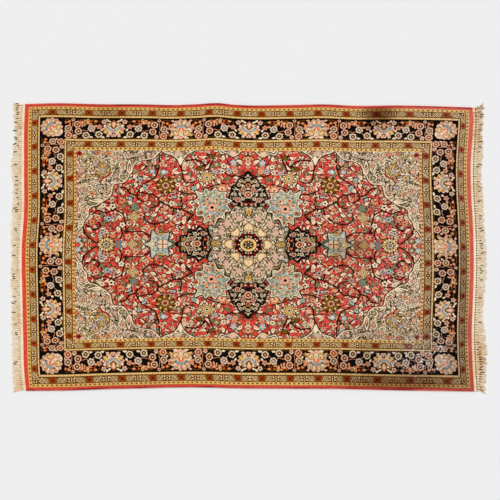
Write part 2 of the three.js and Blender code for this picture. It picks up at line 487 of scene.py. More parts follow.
def minor(length, width, on_end, inner=False):
    """Red rosettes and small white flowers by turns, joined by slanting bars."""
    paper = new_paper(length, width, "olive")
    middle = width / 2
    numbers = np.arange(-1, 18)
    if on_end:
        places = numbers * END_PITCH + (INNER_SHIFT if inner else 0)
    else:
        places = numbers * SIDE_PITCH + (STRETCH * np.clip(numbers - 6.3, 0, None) ** 2 - 2.0)
    is_red = numbers % 2 == (0 if on_end and not inner else 1)
    for red, x, further in zip(is_red, places, places[1:]):
        lean = (1 if red else -1) * width * 0.38
        for shift, bar in BARS:
            a = x + (further - x) / 2 + shift
            stem(paper, [(a - 2.4, middle + lean), (a + 2.4, middle - lean)], 0.6, bar)
    for red, x in zip(is_red, places):
        if red:
            red_rosette(paper, x, middle, width, rich=on_end and not inner)
        else:
            white_flower(paper, x, middle, width)
    for y in (0, width):
        stem(paper, [(0, y), (length, y)], 0.6, "maroon")
    return paper


lay_stripe("outer minor", minor)
lay_stripe("inner minor", lambda length, width, on_end: minor(length, width, on_end, inner=True))
print("minor borders,", len(BARS), "bars in each gap")

# %% [markdown]
# ### The main border
#
# On the midnight ground two kinds of palmette take turns. One is a lotus with a crown, the other a
# round fan with a blue arc. Between two of them lies the same run of ring-shaped rosettes, small
# flowers and leaves on thin vines, turned about at every palmette. So one run is written down as a
# table of places, and drawn over and over at its own scale. The fan also fills the corner, turned
# to the diagonal, because the runs of both sides end at it.

# %% Small flowers of the main border


def rosette(paper, x, y, ring="rose", heart="orange", radius=3.5, flat=1.0):
    """A ring of small petals round a square heart with a pale eye, in a thin dark line."""
    for reach, colour, petals, depth in (
        (radius + 0.6, "midnight", 6, 0.06), (radius, ring, 6, 0.07), (radius * 0.64, "maroon", 0, 0),
        (radius * 0.46, heart, 4, 0.15), (radius * 0.17, "cream", 0, 0),
    ):
        spot(paper, x, y, reach, colour, petals, depth, 45, flat)


def small_flower(paper, x, y, petals, heart, radius):
    """Five petals round a coloured heart."""
    spot(paper, x, y, radius, petals, 5, 0.2, 20)
    spot(paper, x, y, radius * 0.45, heart)


def lobed_flower(paper, x, y, way):
    """An orange flower of three lobes, seen from the side."""
    for turn, length in ((20, 4.2), (90, 3.6), (160, 4.2)):
        leaf(paper, x, y - 0.6, length + 0.6, 3.2, turn, "salmon")
        leaf(paper, x, y - 0.2, length - 0.4, 1.5, turn, "rose")
    spot(paper, x, y + 0.3, 1.6, "maroon")
    spot(paper, x + 0.4 * way, y + 0.2, 0.7, "gold")
    leaf(paper, x, y - 0.6, 3.0, 1.3, -60 * way - 30, "rose")


print("flowers: rosette, small flower, lobed flower")

# %% The fan


def turned(x, y, turn, size):
    """The function that turns and scales the places of a flower about its middle."""
    c, s = heading(turn)
    return lambda a, b: (x + a * size * c - b * size * s, y + a * size * s + b * size * c)


def fan(paper, x, y, turn=0, size=1.0):
    """A round palmette: a fan of petals, a blue arc, a red heart and a pale stalk."""
    at = turned(x, y, turn, size)
    spot(paper, *at(0, 0.2), 10.2 * size, "rose", 13, 0.06, turn)
    spot(paper, *at(0, 0.2), 9.4 * size, "sand", 13, 0.05, turn)
    for number, angle in enumerate(range(-16, 200, 18)):
        c, s = heading(angle)
        place = at(5.0 * c, 5.0 * s)
        leaf(paper, *place, 5.4 * size, 3.0 * size, angle + turn, "brown")
        colour = ("rose", "sand", "salmon", "cream")[number % 4]
        leaf(paper, *place, 5.0 * size, 2.2 * size, angle + turn, colour)
        spot(paper, *at(8.4 * c, 8.4 * s), 0.5 * size, ("leaf_green", "mauve")[number % 2])
        spot(paper, *at(6.4 * c, 6.4 * s), 0.5 * size, ("brown", "rose")[number % 2])
    bud = ((2, -3), (5, -1), (8, -3.2), (6.5, -6.5), (2.5, -7.2))
    for side in (-1, 1):
        for shrink, colour in ((1.0, "brown"), (0.8, "gold"), (0.5, "sand")):
            outline = [(4.8 + (a - 4.8) * shrink, -4.2 + (b + 4.2) * shrink) for a, b in bud]
            patch(paper, [at(side * a, b) for a, b in outline], colour)
        spot(paper, *at(side * 4.2, -3.4), 0.8 * size, "orange")
    arc = ((-4.8, 1.6), (-2.6, 3.2), (0, 3.9), (2.6, 3.2), (4.8, 1.6))
    for span, width, colour in ((1, 2.3, "maroon"), (1, 1.6, "blue"), (0.8, 0.7, "pale_blue")):
        stem(paper, [at(a * span, b) for a, b in arc], width * size, colour)
    cup = ((0, 2.4), (2.2, 1.4), (3.5, -1.6), (2.2, -3.0), (0, -0.6), (-2.2, -3.0), (-3.5, -1.6), (-2.2, 1.4))
    patch(paper, [at(a, b) for a, b in cup], "salmon")
    patch(paper, [at(a * 0.6, b * 0.7) for a, b in cup], "madder")
    stem(paper, [at(0, 0), at(0, -6.5)], 1.5 * size, "cream")
    stem(paper, [at(0, -2), at(0, -5)], 0.5 * size, "leaf_green")
    for a, b in ((-2, -8), (2, -8), (0, -9.3)):
        spot(paper, *at(a, b), 1.35 * size, "rose")
    spot(paper, *at(0, -7.9), 0.9 * size, "mauve")


print("palmette: fan")

# %% The lotus


def facing(turn, side):
    """A direction in degrees, mirrored where side is -1."""
    return turn if side > 0 else 180 - turn


def lotus(paper, x, y):
    """A crowned palmette: spread petals, a blue cup and a brown and cream crown."""
    for angle, length, colour in ((0, 11.4, "rose"), (22, 11, "cream"), (-24, 11, "gold"), (-50, 10, "rose"),
                                  (42, 9.5, "salmon")):
        for turn in (angle, 180 - angle):
            leaf(paper, x, y, length, 6.4, turn, "maroon")
            leaf(paper, x, y, length - 0.5, 5.4, turn, colour)
            leaf(paper, x, y, length - 2, 1.2, turn, "brown")
    spot(paper, x, y, 7.2, "sand", 9, 0.08)
    for side in (-1, 1):
        leaf(paper, x + side * 3, y - 2, 6.5, 2.6, facing(-12, side), "gold")
        leaf(paper, x + side * 3, y + 0.5, 6.5, 2.4, facing(10, side), "rose")
        spot(paper, x + side * 6.8, y - 0.8, 0.7, "orange")
        spot(paper, x + side * 5.6, y - 4.2, 0.7, "maroon")
        leaf(paper, x + side * 2, y + 6.5, 4.5, 1.8, facing(35, side), "cream")
    crown = ((0, 8.8), (3.6, 7.0), (6.4, 4.4), (3.4, 2.4), (0, -0.6), (-3.4, 2.4), (-6.4, 4.4), (-3.6, 7.0))
    bud = ((0, 7.6), (2.0, 6.2), (1.4, 3.6), (0, 1.2), (-1.4, 3.6), (-2.0, 6.2))
    for outline, colour in ((crown, "brown"), (bud, "rose")):
        patch(paper, [(x + a, y + b) for a, b in outline], colour)
    stem(paper, [(x, y + 2.2), (x, y + 5.4)], 0.9, "cream")
    for side in (-1, 1):
        spot(paper, x + side * 3.9, y + 4.6, 1.15, "cream")
        cup = ((6.0, 1.6), (3.2, -0.8), (0.8, -2.4))
        stem(paper, [(x + side * a, y + b) for a, b in cup], 1.9, "blue")
        stem(paper, [(x + side * 5.0, y + 1.0), (x + side * 2.0, y - 1.6)], 0.8, "pale_blue")
    for b, radius, petals, colour in (
        (8.6, 0.8, 0, "madder"), (-5.6, 3.2, 6, "rose"), (-5.4, 1.7, 0, "maroon"), (-5.8, 0.8, 0, "cream"),
    ):
        spot(paper, x, y + b, radius, colour, petals, 0.1)
    for side in (-1, 1):
        leaf(paper, x + side * 3.4, y - 8, 3.6, 1.7, facing(0, side), "sand")


print("palmette: lotus")

# %% The run between two palmettes
RUN = 63.4  # squares from a lotus to a fan, with the places below counted from the lotus
VINES = [
    ("brown", [(8, 20.3), (14, 18.2), (20, 20.4), (27, 19.6), (34, 20.6), (41, 18.8), (50, 20.8), (56, 19)]),
    ("orange", [(16, 13), (20, 16.8), (25, 16.4), (29, 18)]),
    ("salmon", [(16, 4.6), (20.5, 7.6), (23.5, 11.1)]),
    ("salmon", [(23.5, 11), (28.5, 8.4), (33, 9.6), (37.4, 7.5)]),
    ("salmon", [(42.6, 17.6), (43.4, 12), (43.0, 6), (43.6, 1.6)]),
    ("salmon", [(47.1, 2.8), (51.5, 4.6), (54, 7.2)]),
    ("brown", [(4, 0.9), (12, 1.1), (22, 0.9), (34, 1.2), (46, 0.8), (58, 1.1)]),
]
LEAVES = [
    ("cream", 5.2, 19.2, 3.6, 1.9, 40), ("cream", 9.0, 1.6, 4.4, 2.2, 10),
    ("salmon", 17, 19.4, 3.6, 2.2, -10), ("cream", 11.6, 8.6, 3.0, 2.0, 60),
    ("rose", 20.5, 14.4, 3.4, 1.8, 200), ("orange", 22.4, 18.4, 2.8, 2.2, 30),
    ("cream", 21.6, 1.7, 4.2, 1.9, 12), ("salmon", 26.4, 14.9, 3.6, 2.3, 150),
    ("cream", 30.6, 7.2, 3.2, 2.0, -60), ("salmon", 33.2, 12.4, 3.8, 2.2, 100),
    ("rose", 35.0, 4.4, 3.6, 2.2, 20), ("cream", 39.2, 4.6, 4.0, 1.7, -35),
    ("salmon", 44.6, 19.0, 3.6, 2.3, -25), ("orange", 36.8, 19.0, 3.0, 2.0, 190),
    ("cream", 51.4, 6.4, 3.6, 1.9, 130), ("gold", 52.6, 3.4, 4.4, 2.2, 35),
    ("salmon", 53.0, 16.6, 3.4, 2.2, 250), ("cream", 56.0, 1.5, 5.0, 1.9, 0),
    ("rose", 56.8, 19.6, 3.4, 2.0, 165), ("salmon", 45.2, 14.0, 3.0, 1.6, 80),
]
ROSETTES = [
    (15.5, 5.0, "sand", "brown"), (23.2, 11.4, "sand", "mauve"), (28.8, 3.8, "sand", "brown"),
    (38.1, 15.4, "rose", "brown"), (36.8, 8.0, "rose", "brown"), (47.2, 11.0, "rose", "leaf_green"),
    (46.9, 3.6, "rose", "orange"),
]
SMALL = [
    (10.2, 18.6, "rose", "blue", 2.2), (14.9, 13.2, "salmon", "blue", 2.3),
    (40.4, 2.3, "rose", "leaf_green", 1.9), (50.2, 17.4, "orange", "gold", 1.6),
    (42.4, 20.2, "rose", "maroon", 1.5), (27.0, 20.0, "gold", "maroon", 1.4),
    (52.4, 11.8, "rose", "madder", 1.3),
]
print("run of", len(VINES), "vines", len(LEAVES), "leaves", len(ROSETTES) + len(SMALL) + 1, "flowers")

# %% The main border, laid


def draw_run(paper, lotus_at, fan_at, on_end):
    """Draws a run on a straight strip, from a lotus to a fan, either way along it."""
    way = 1 if fan_at > lotus_at else -1
    scale = (fan_at - lotus_at) / RUN
    for colour, points in VINES:
        stem(paper, [(lotus_at + x * scale, y) for x, y in points], 0.5, colour)
    for colour, x, y, length, width, turn in LEAVES:
        leaf(paper, lotus_at + x * scale, y, length, width, facing(turn, way), colour)
    for x, y, petals, heart, radius in SMALL:
        small_flower(paper, lotus_at + x * scale, y, petals, heart, radius)
    lobed_flower(paper, lotus_at + 30.2 * scale, 17.2, way)
    for x, y, ring, heart in ROSETTES:
        rosette(paper, lotus_at + x * scale, y, ring, heart, *((3.2, 1.08) if on_end else (3.5, 0.94)))


def main_border(length, width, on_end):
    """The whole strip, from the rug's middle line to the fan in the corner."""
    paper = new_paper(length, width, "midnight")
    corner = length - width / 2
    stops = [0, 68, corner] if on_end else [0, 63.4, 126.7, corner]
    palmettes = (fan, lotus) if on_end else (lotus, fan)
    for number, (a, b) in enumerate(zip(stops, stops[1:])):
        draw_run(paper, *((a, b) if palmettes[number % 2] is lotus else (b, a)), on_end)
    for number, stop in enumerate(stops[:-1]):
        palmettes[number % 2](paper, stop, width / 2 - 0.3)
    return paper


lay_stripe("main", main_border)
(inner_x, outer_x), (inner_y, outer_y) = STRIPES["main"]
corner_x, corner_y = (inner_x + outer_x) / 2, (inner_y + outer_y) / 2
columns, rows = (slice(round(a * SQUARE), round(b * SQUARE)) for a, b in STRIPES["main"])
chart[rows, columns] = NUMBER["midnight"]
for turn in (-8, 98):
    leaf(chart, corner_x - 8, corner_y - 7, 6, 2.4, turn, "cream")
fan(chart, corner_x + 0.6, corner_y + 0.6, turn=-45, size=0.96)
print("main border runs", RUN, "squares from lotus to fan")

# %% [markdown]
# ### The grounds of the field
#
# The field is made of areas, and each has its own ground: red in the middle, sand in the corners,
# pale blue and midnight in the panels. On a real chart every ground is filled with thin curling
# stems, leaves and small flowers, so closely that hardly a hand's breadth is plain. Drawing a
# thousand of them one by one says nothing new, so one function strews them over a whole sheet of
# paper, on a staggered grid with some chance in it, and the sheet is then cut to the area.

# %% Blooms and curls
field = chart[: round(FIELD[1] * SQUARE), : round(FIELD[0] * SQUARE)]  # this part of the chart itself


def bloom(paper, x, y, radius, petals, heart, count=5, turn=0, edge="maroon"):
    """A flower of petals with an edge and a heart."""
    spot(paper, x, y, radius + 0.45, edge, count, 0.15, turn)
    spot(paper, x, y, radius, petals, count, 0.2, turn)
    spot(paper, x, y, radius * 0.42, heart)


def curl(paper, x, y, radius, turn, way, dye_name, width=0.55):
    """A stem that curls in on itself."""
    c, s = heading(turn + way * np.linspace(0, 320, 7))
    radii = radius * np.linspace(1, 0.25, 7)
    stem(paper, list(zip(x + radii * c, y + radii * s)), width, dye_name)


print("field", field.shape, "knots in a quarter")

# %% A strewn ground


def strewn(ground, seed, pitch, stems, leaves, petals, edge, reach=FIELD, share=0.7):
    """A sheet of one ground, strewn with curls, leaves and a share of flowers as far as reach."""
    paper = new_paper(*FIELD, ground)
    chance = np.random.default_rng(seed)
    places = [
        (x + pitch / 2 * (row % 2), y)
        for row, y in enumerate(np.arange(0, reach[1] + pitch, pitch * 0.85))
        for x in np.arange(0, reach[0] + pitch, pitch)
    ]
    places = np.array(places) + chance.uniform(-0.22, 0.22, (len(places), 2)) * pitch
    for x, y in places:
        way = 1 if chance.random() < 0.5 else -1
        turn = chance.uniform(0, 360)
        curl(paper, x, y, pitch * 0.62, turn, way, chance.choice(stems), 0.7)
        for _ in range(4):
            turn += chance.uniform(60, 120)
            c, s = heading(turn)
            start = (x + 0.25 * pitch * c, y + 0.25 * pitch * s)
            size = pitch * chance.uniform(0.45, 0.85)
            leaf(paper, *start, size + 0.9, size * 0.36 + 1.1, turn + 60 * way, edge, -0.8 * way)
            leaf(paper, *start, size, size * 0.36, turn + 60 * way, chance.choice(leaves), -0.8 * way)
    for x, y in places + pitch * np.array([0.5, 0.12]):
        colours = petals[int(chance.integers(len(petals)))]
        count = int(chance.integers(3, 7))
        if chance.random() < share:
            bloom(paper, x, y, pitch * chance.uniform(0.17, 0.3), *colours, count, turn=x * 40, edge=edge)
    return paper


print("sheets of", round(FIELD[0]), "by", round(FIELD[1]), "squares")

# %% Cutting a ground to its area


def cut_in(paper, outline, around, rim, thick=1.6):
    """Cuts a strewn sheet to an outline and lays it on the field, with a line around and a rim inside."""
    stem(field, outline, 2.0, around, closed=True)
    stem(paper, outline, thick, rim, closed=True)
    stencil = new_paper(*FIELD, "madder")
    patch(stencil, outline, "cream")
    inside = stencil == NUMBER["cream"]
    field[inside] = paper[inside]


print("stencils of", field.size, "knots")

# %% [markdown]
# ### The red ground
#
# Over the strewn flowers go the long dark vines, the larger leaves that grow from them, and a few big
# flowers. These are what the eye finds first from afar, so each has its own place.

# %% Vines and leaves of the red ground
RED_VINES = [
    [(83, 97), (83.2, 88), (84.5, 79.4), (88, 71.5), (96, 66.5), (103.6, 56.7), (104, 50), (98, 45)],
    [(103.6, 56.7), (96, 54.5), (89, 53.5), (84, 47), (86, 41), (92, 39)],
    [(122, 62), (115, 60), (110, 54), (104, 52)],
    [(133.2, 34), (126.5, 36.8), (120, 34.5), (116.5, 29), (115, 18), (113, 14)],
    [(124, 18.5), (119.5, 17), (117.5, 12), (119, 7)],
    [(116, 13.5), (106, 13.6), (98.5, 13.2), (91, 8.7), (84, 8)],
    [(154.5, 20), (153, 12.6), (149, 8), (144, 3.6), (139, 1)],
    [(152, 22), (147, 17.5), (142, 17.2), (138.5, 20), (140, 24)],
    [(66, 57.7), (60, 54.6), (50.5, 53.7)],
    [(63, 84), (61.6, 76), (60.4, 68.5), (56, 66), (51, 67)],
    [(58, 89.6), (50, 90.8), (43.5, 88), (40, 82.6)],
    [(42.5, 58), (36, 60.6), (28.9, 63.2), (22, 65)],
    [(24.5, 79), (18.6, 74.4), (12.7, 73), (6, 74.4), (0, 79)],
    [(31, 96), (33.5, 88), (36, 82), (38, 77)],
    [(36, 89), (38.4, 85), (42, 84), (46, 79.5)],
    [(84, 47), (77, 42.5), (70, 38.6), (63.3, 38.4), (62.3, 45), (64, 51)],
    [(63.3, 38.4), (57, 34), (52, 31.5)],
    [(70, 38.6), (72.5, 30), (80, 24), (90, 21.8), (97, 26), (98, 33)],
    [(137, 44), (130, 44.5), (125, 42), (124.4, 37)],
    [(98, 81), (94, 84.6), (88, 84), (84.6, 80)],
    [(146, 33), (141, 36.6), (136, 34.5), (133.2, 34)],
    [(66, 19), (60, 22.4), (55, 27), (52, 31.5)],
]
RED_LEAVES = [
    ("cream", 56, 84.5, 11, 4.2, 14), ("cream", 71.4, 80.6, 8.6, 3.4, -152), ("cream", 51, 58, 8.6, 3.8, 120),
    ("cream", 96, 61, 7.4, 3.6, -40), ("cream", 104, 76, 6.6, 3.6, -62),
    ("pale_blue", 96.6, 58, 7.0, 3.4, 70), ("pale_blue", 100.5, 67, 6.4, 3.2, 62),
    ("brown", 31, 92.4, 6.4, 3.6, 14), ("brown", 43.4, 79, 5.4, 4.2, 20), ("cream", 62, 62, 5.4, 2.8, -60),
    ("salmon", 118, 44, 6.4, 3.0, 100), ("cream", 120, 26, 6.0, 3.0, 66), ("cream", 146.5, 14, 6.4, 3.0, 38),
    ("cream", 149, 6.4, 6.4, 3.0, -30), ("cream", 121.5, 12.6, 7, 3.6, 78), ("cream", 92, 31, 6.4, 3.0, 160),
    ("cream", 71, 28, 6.8, 3.4, 28), ("cream", 59.5, 27.4, 6.4, 4.0, -80), ("salmon", 94, 16, 6.4, 3.0, 160),
    ("salmon", 77.5, 36, 6.0, 3.0, 20), ("cream", 24.6, 89, 6.6, 3.2, 100),
    ("cream", 5.4, 86.5, 7.2, 3.6, 40), ("salmon", 15, 84.5, 6.4, 3.2, -160),
    ("cream", 8, 69.8, 6.4, 3.0, 22), ("cream", 27.5, 70, 6.0, 3.4, -100),
    ("pale_blue", 110, 46, 5.6, 3.0, 60), ("cream", 136, 39, 5.4, 2.6, 10),
    ("cream", 130.6, 26, 6.2, 3.0, 150), ("salmon", 107, 22, 6.4, 3.0, 30), ("cream", 100, 6.4, 6, 3.0, 8),
    ("cream", 138, 9.6, 5.8, 3.0, 100), ("pale_blue", 72, 52.5, 5.2, 2.6, 200), ("cream", 45, 93, 6, 3, 170),
]
print("red ground:", len(RED_VINES), "vines", len(RED_LEAVES), "leaves")

# %% The strewn sheet, with its vines and leaves
red_ground = strewn(
    "madder", 5, 8.0, ["maroon", "maroon", "brown"],
    ["sand", "cream", "salmon", "leaf_green", "madder", "rose", "cream", "sand"],
    [("sand", "madder"), ("rose", "maroon"), ("leaf_green", "madder"), ("cream", "leaf_green"),
     ("sand", "maroon"), ("madder", "cream"), ("rose", "crimson")],
    "maroon", share=0.4,
)
for points in RED_VINES:
    stem(red_ground, points, 1.55, "maroon")
for colour, x, y, length, width, turn in RED_LEAVES:
    vein = {"cream": "salmon", "salmon": "madder"}.get(colour, "olive")
    for longer, wide, dye_name in ((1.2, width + 1.2, "maroon"), (0, width, colour), (-2, width * 0.3, vein)):
        leaf(red_ground, x, y, length + longer, wide, turn, dye_name, 0.5)
print("red sheet", red_ground.shape, "knots")

# %% Flowers of the red ground
RED_BLOOMS = [
    (88.3, 92.6, 2.6, "pale_blue", "rose"), (92.4, 86, 2.5, "leaf_green", "madder"),
    (90, 78.6, 2.4, "pale_blue", "rose"), (81, 86.5, 2.4, "rose", "crimson"),
    (79.2, 78, 2.6, "pale_blue", "cream"), (29.6, 84.6, 2.9, "leaf_green", "rose"),
    (22.8, 84, 2.4, "cream", "olive"), (17.6, 79.6, 2.2, "pale_blue", "crimson"),
    (12, 79, 2.5, "rose", "madder"), (13.6, 88.2, 3.0, "pale_blue", "rose"),
    (24, 77.8, 2.2, "cream", "maroon"), (106.8, 39.8, 3.6, "leaf_green", "blue"),
    (136.4, 42, 2.4, "cream", "leaf_green"), (127.5, 41, 2.8, "cream", "midnight"),
    (141.5, 29.6, 2.6, "rose", "olive"), (131, 27.6, 2.6, "pale_blue", "maroon"),
    (126.4, 30.2, 2.2, "mauve", "crimson"), (118, 21, 2.6, "cream", "blue"),
    (146.4, 24, 2.6, "salmon", "olive"), (158.4, 11.8, 2.5, "rose", "rose"),
    (158.4, 5.2, 2.7, "pale_blue", "rose"), (152.2, 5.2, 2.7, "leaf_green", "rose"),
    (136.6, 12.6, 2.4, "pale_blue", "crimson"), (112, 8.4, 2.7, "rose", "brown"),
    (104.4, 7.6, 2.7, "rose", "brown"), (96.4, 38, 2.6, "mauve", "olive"), (101, 31, 2.6, "rose", "crimson"),
    (56.6, 71.6, 2.6, "rose", "rose"), (65, 70, 2.4, "leaf_green", "rose"),
    (50.8, 60, 2.2, "pale_blue", "leaf_green"), (66, 64.4, 2.2, "cream", "crimson"),
    (72, 44, 2.6, "cream", "olive"), (66, 31, 2.8, "mauve", "maroon"), (60.6, 60, 2.2, "rose", "olive"),
    (53, 44, 2.4, "cream", "maroon"), (19, 70, 2.2, "leaf_green", "crimson"),
    (30.6, 77, 2.2, "pale_blue", "madder"), (46.5, 73, 2.2, "leaf_green", "cream"),
    (0, 92, 2.6, "rose", "olive"),
]
for x, y, radius, petals, heart in RED_BLOOMS:
    bloom(red_ground, x, y, radius, petals, heart, turn=x)
print("red ground:", len(RED_BLOOMS), "flowers")

# %% The big flowers


def ringed_flower(paper, x, y, radius, ring, between, inner, heart):
    """A large round flower in rings, with small leaves standing out round it."""
    count = 8
    spot(paper, x, y, radius * 1.12, "maroon", count, 0.16, 22)
    for number, turn in enumerate(np.arange(0, 360, 180 / count)):
        c, s = heading(turn)
        start = (x + radius * 0.3 * c, y + radius * 0.3 * s)
        leaf(paper, *start, radius, radius * 0.5, turn + 12, "maroon")
        leaf(paper, *start, radius * 0.88, radius * 0.36, turn + 12, (ring, between)[number % 2])
    for turn in np.arange(0, 360, 360 / count):
        c, s = heading(turn)
        spot(paper, x + radius * 0.56 * c, y + radius * 0.56 * s, radius * 0.16, "olive")
    spot(paper, x, y, radius * 0.5, "brown", count, 0.1, 22)
    spot(paper, x, y, radius * 0.42, inner, count, 0.15, 22)
    spot(paper, x, y, radius * 0.28, "olive", count, 0.2)
    spot(paper, x, y, radius * 0.17, heart)


def lily(paper, x, y, size):
    """A round flower of pointed petals, with a diamond and a dark heart in the middle."""
    spot(paper, x, y, 5.2 * size, "maroon", 8, 0.1)
    for number, turn in enumerate(range(0, 360, 30)):
        out = (7.6, 6.0, 6.6)[number % 3] * size
        leaf(paper, x, y, out + 0.8, 3.6 * size, turn, "maroon")
        leaf(paper, x, y, out, 2.7 * size, turn, ("cream", "sand", "gold")[number % 3])
        leaf(paper, x, y, out * 0.8, 0.8 * size, turn, ("brown", "olive", "cream")[number % 3])
    for scale, colour in ((4.6, "brown"), (3.9, "gold"), (2.5, "olive"), (1.9, "cream")):
        wide, high = scale * size, scale * 1.1 * size
        patch(paper, [(x, y + high), (x + wide, y), (x, y - high), (x - wide, y)], colour)
    spot(paper, x, y, 1.1 * size, "midnight")


ringed_flower(red_ground, 77.5, 63.4, 7.4, "gold", "brown", "rose", "crimson")
ringed_flower(red_ground, 132.2, 0, 6.6, "cream", "gold", "sand", "blue")
for x, y, size in ((38.6, 70.9, 1.05), (107.4, 29.6, 0.8), (108, 0, 0.7)):
    lily(red_ground, x, y, size)
bloom(red_ground, 24.6, 58.4, 5.0, "salmon", "gold", 9)
bloom(red_ground, 24.6, 58.4, 3.0, "sand", "orange", 6, edge="madder")
bloom(red_ground, 120.6, 2, 2.6, "blue", "orange")
bloom(red_ground, 116, 0, 1.9, "cream", "leaf_green", 4)
field[:] = red_ground
print("big flowers: ringed flower, lily")

# %% [markdown]
# ### The corners of the field
#
# The sand-coloured corners end towards the middle in lobes, with a cream tongue near each end of the
# lobed edge. A cream band and a dark line follow that edge. Between two corners, the tips of pale
# crowns look in from the long side.

# %% Outlines of the corners and the crowns
SPANDREL = [
    (80.5, 103), (83, 99.4), (88, 93.6), (92, 91.6), (100, 90.3), (105.2, 87.4), (107.9, 83), (109, 77.6),
    (111.5, 74.4), (113.4, 70), (117.6, 66), (125.4, 65), (127.4, 60), (128.4, 54.4), (132.1, 49.3),
    (136.8, 46), (141.7, 42.6), (147.2, 40.6), (149.8, 37), (150.4, 30.3), (153.4, 26), (154.7, 20.4),
    (157.9, 16.1), (163, 12.6), (166, 60), (166, 106), (120, 106),
]
CROWN = [
    (80, 103), (78, 98.6), (71, 96), (66.5, 91.5), (63.4, 85.4), (60.6, 91.6), (57, 96.4), (52, 99.6),
    (50, 103),
]
MIDDLE_CROWN = [(27, 103), (25.4, 96.4), (20, 98), (14, 94.6), (8.6, 98.4), (7, 103)]

sand_ground = strewn(
    "sand", 8, 6.8, ["midnight", "maroon", "olive"],
    ["cream", "cream", "sand", "rose", "cream", "leaf_green"],
    [("rose", "maroon"), ("mauve", "olive"), ("cream", "maroon"), ("salmon", "maroon"), ("mauve", "cream")],
    "maroon", share=0.35,
)
print("spandrel", len(SPANDREL), "places")

# %% Scrolls and the large palmette of a corner
SCROLLS = [
    [(159, 72), (156.5, 88), (146, 95), (134, 88), (129, 80), (137, 70), (148, 66), (156, 60)],
    [(158, 44), (152, 54), (142, 60), (133, 57), (131, 64)],
    [(128, 97), (120, 92), (117, 82), (121, 74), (127, 71)], [(100, 99), (108, 95), (116, 97), (122, 100)],
    [(159, 22), (156, 32), (158, 40), (153.6, 45)],
]
PALMETTE = [(156, 96.6), (147, 94.4), (139, 89.6), (134, 82), (131, 74), (138, 75), (147, 80.6), (154, 88)]
PALMETTE_FOOT = (132.5, 76)
for points in SCROLLS:
    stem(sand_ground, points, 1.7, "cream")
    stem(sand_ground, points, 0.7, "maroon")
for x, y, radius, turn, way in ((117, 86, 4.6, -60, 1), (118, 72.4, 4, 80, -1), (133.4, 56, 4.6, 200, 1),
                                (149, 60, 4.2, 20, 1), (155, 38, 3.6, 90, -1), (127, 90, 4, 160, 1)):
    curl(sand_ground, x, y, radius, turn, way, "olive", 2.2)
    curl(sand_ground, x, y, radius, turn, way, "cream", 1.2)
for number, turn in enumerate(range(-20, 110, 16)):
    shorter = abs(turn - 44) * 0.12
    leaf(sand_ground, *PALMETTE_FOOT, 17 - shorter, 3.6, turn, ("olive", "brown")[number % 2])
    leaf(sand_ground, *PALMETTE_FOOT, 15 - shorter, 2.0, turn, ("cream", "mauve", "gold")[number % 3])
stem(sand_ground, PALMETTE, 1.4, "olive", closed=True)
stem(sand_ground, PALMETTE, 0.6, "gold", closed=True)
print("corner:", len(SCROLLS), "scrolls and a palmette")

# %% Flowers and tongues of a corner
CORNER_BLOOMS = [
    (137, 79.4, "pale_blue", "orange"), (143.6, 86, "mauve", "pale_blue"), (124.5, 73, "mauve", "rose"),
    (125, 93.6, "rose", "salmon"), (117, 86, "rose", "crimson"), (118, 72.4, "leaf_green", "gold"),
    (146.4, 54.8, "salmon", "crimson"), (133.4, 56, "rose", "maroon"), (158.6, 97.6, "crimson", "maroon"),
    (159, 73.2, "salmon", "maroon"), (155.8, 79.4, "rose", "salmon"), (156.6, 58, "mauve", "rose"),
    (131, 97.6, "salmon", "crimson"), (93.6, 97, "mauve", "cream"), (101, 94.8, "mauve", "olive"),
    (148.6, 73, "gold", "maroon"), (140.4, 62, "mauve", "pale_blue"), (155, 38, "rose", "mauve"),
    (157.6, 24, "cream", "leaf_green"),
]
TONGUES = [  # an outline, and the foot, turn and colour of the leaf in it
    ([(111.4, 92), (113.6, 86), (114, 79), (111.4, 75.2), (108.8, 79), (109.2, 86)], (111.4, 77), 90, "rose"),
    ([(150.5, 47.6), (144, 50.2), (139.4, 50), (136.2, 47.4), (139.4, 44.6), (144, 45)],
     (138, 47.4), 8, "cream"),
]
for x, y, petals, heart in CORNER_BLOOMS:
    bloom(sand_ground, x, y, 2.1, petals, heart, 5, turn=y, edge="olive")
stem(sand_ground, [(139.7, 67.4), (135.6, 71.6), (132, 73.4), (128.2, 77.7)], 1.5, "crimson")
for x, y, turn in ((116.9, 77, 130), (138.7, 53.5, 140), (121, 80.6, 20)):
    leaf(sand_ground, x, y, 3.6, 1.8, turn, "midnight")
for outline, foot, turn, colour in TONGUES:
    patch(sand_ground, outline, "cream")
    leaf(sand_ground, *foot, 11, 3.0, turn, "olive")
    leaf(sand_ground, *foot, 8, 1.6, turn, colour)
    stem(sand_ground, outline, 0.8, "olive", closed=True)
cut_in(sand_ground, SPANDREL, "maroon", "cream")
cut_in(sand_ground, CROWN, "midnight", "cream")
leaf(field, 63.4, 87, 8, 4.0, 90, "cream")
bloom(field, 66, 98, 2.4, "mauve", "sand", 6, edge="cream")
cut_in(sand_ground, MIDDLE_CROWN, "maroon", "cream")
bloom(field, 13.6, 98, 2.2, "rose", "cream", 6, edge="sand")
print("corner:", len(CORNER_BLOOMS), "flowers and", len(TONGUES), "tongues")

# %% [markdown]
# ### Panels, pendants and the medallion
#
# Round the medallion stand four pale blue panels. A midnight pendant points along the rug on each
# side and one across it, and beyond the ones along the rug hangs a blue star. The medallion itself
# has a sand ground, eight gold hearts and a gold ring with a dark middle.

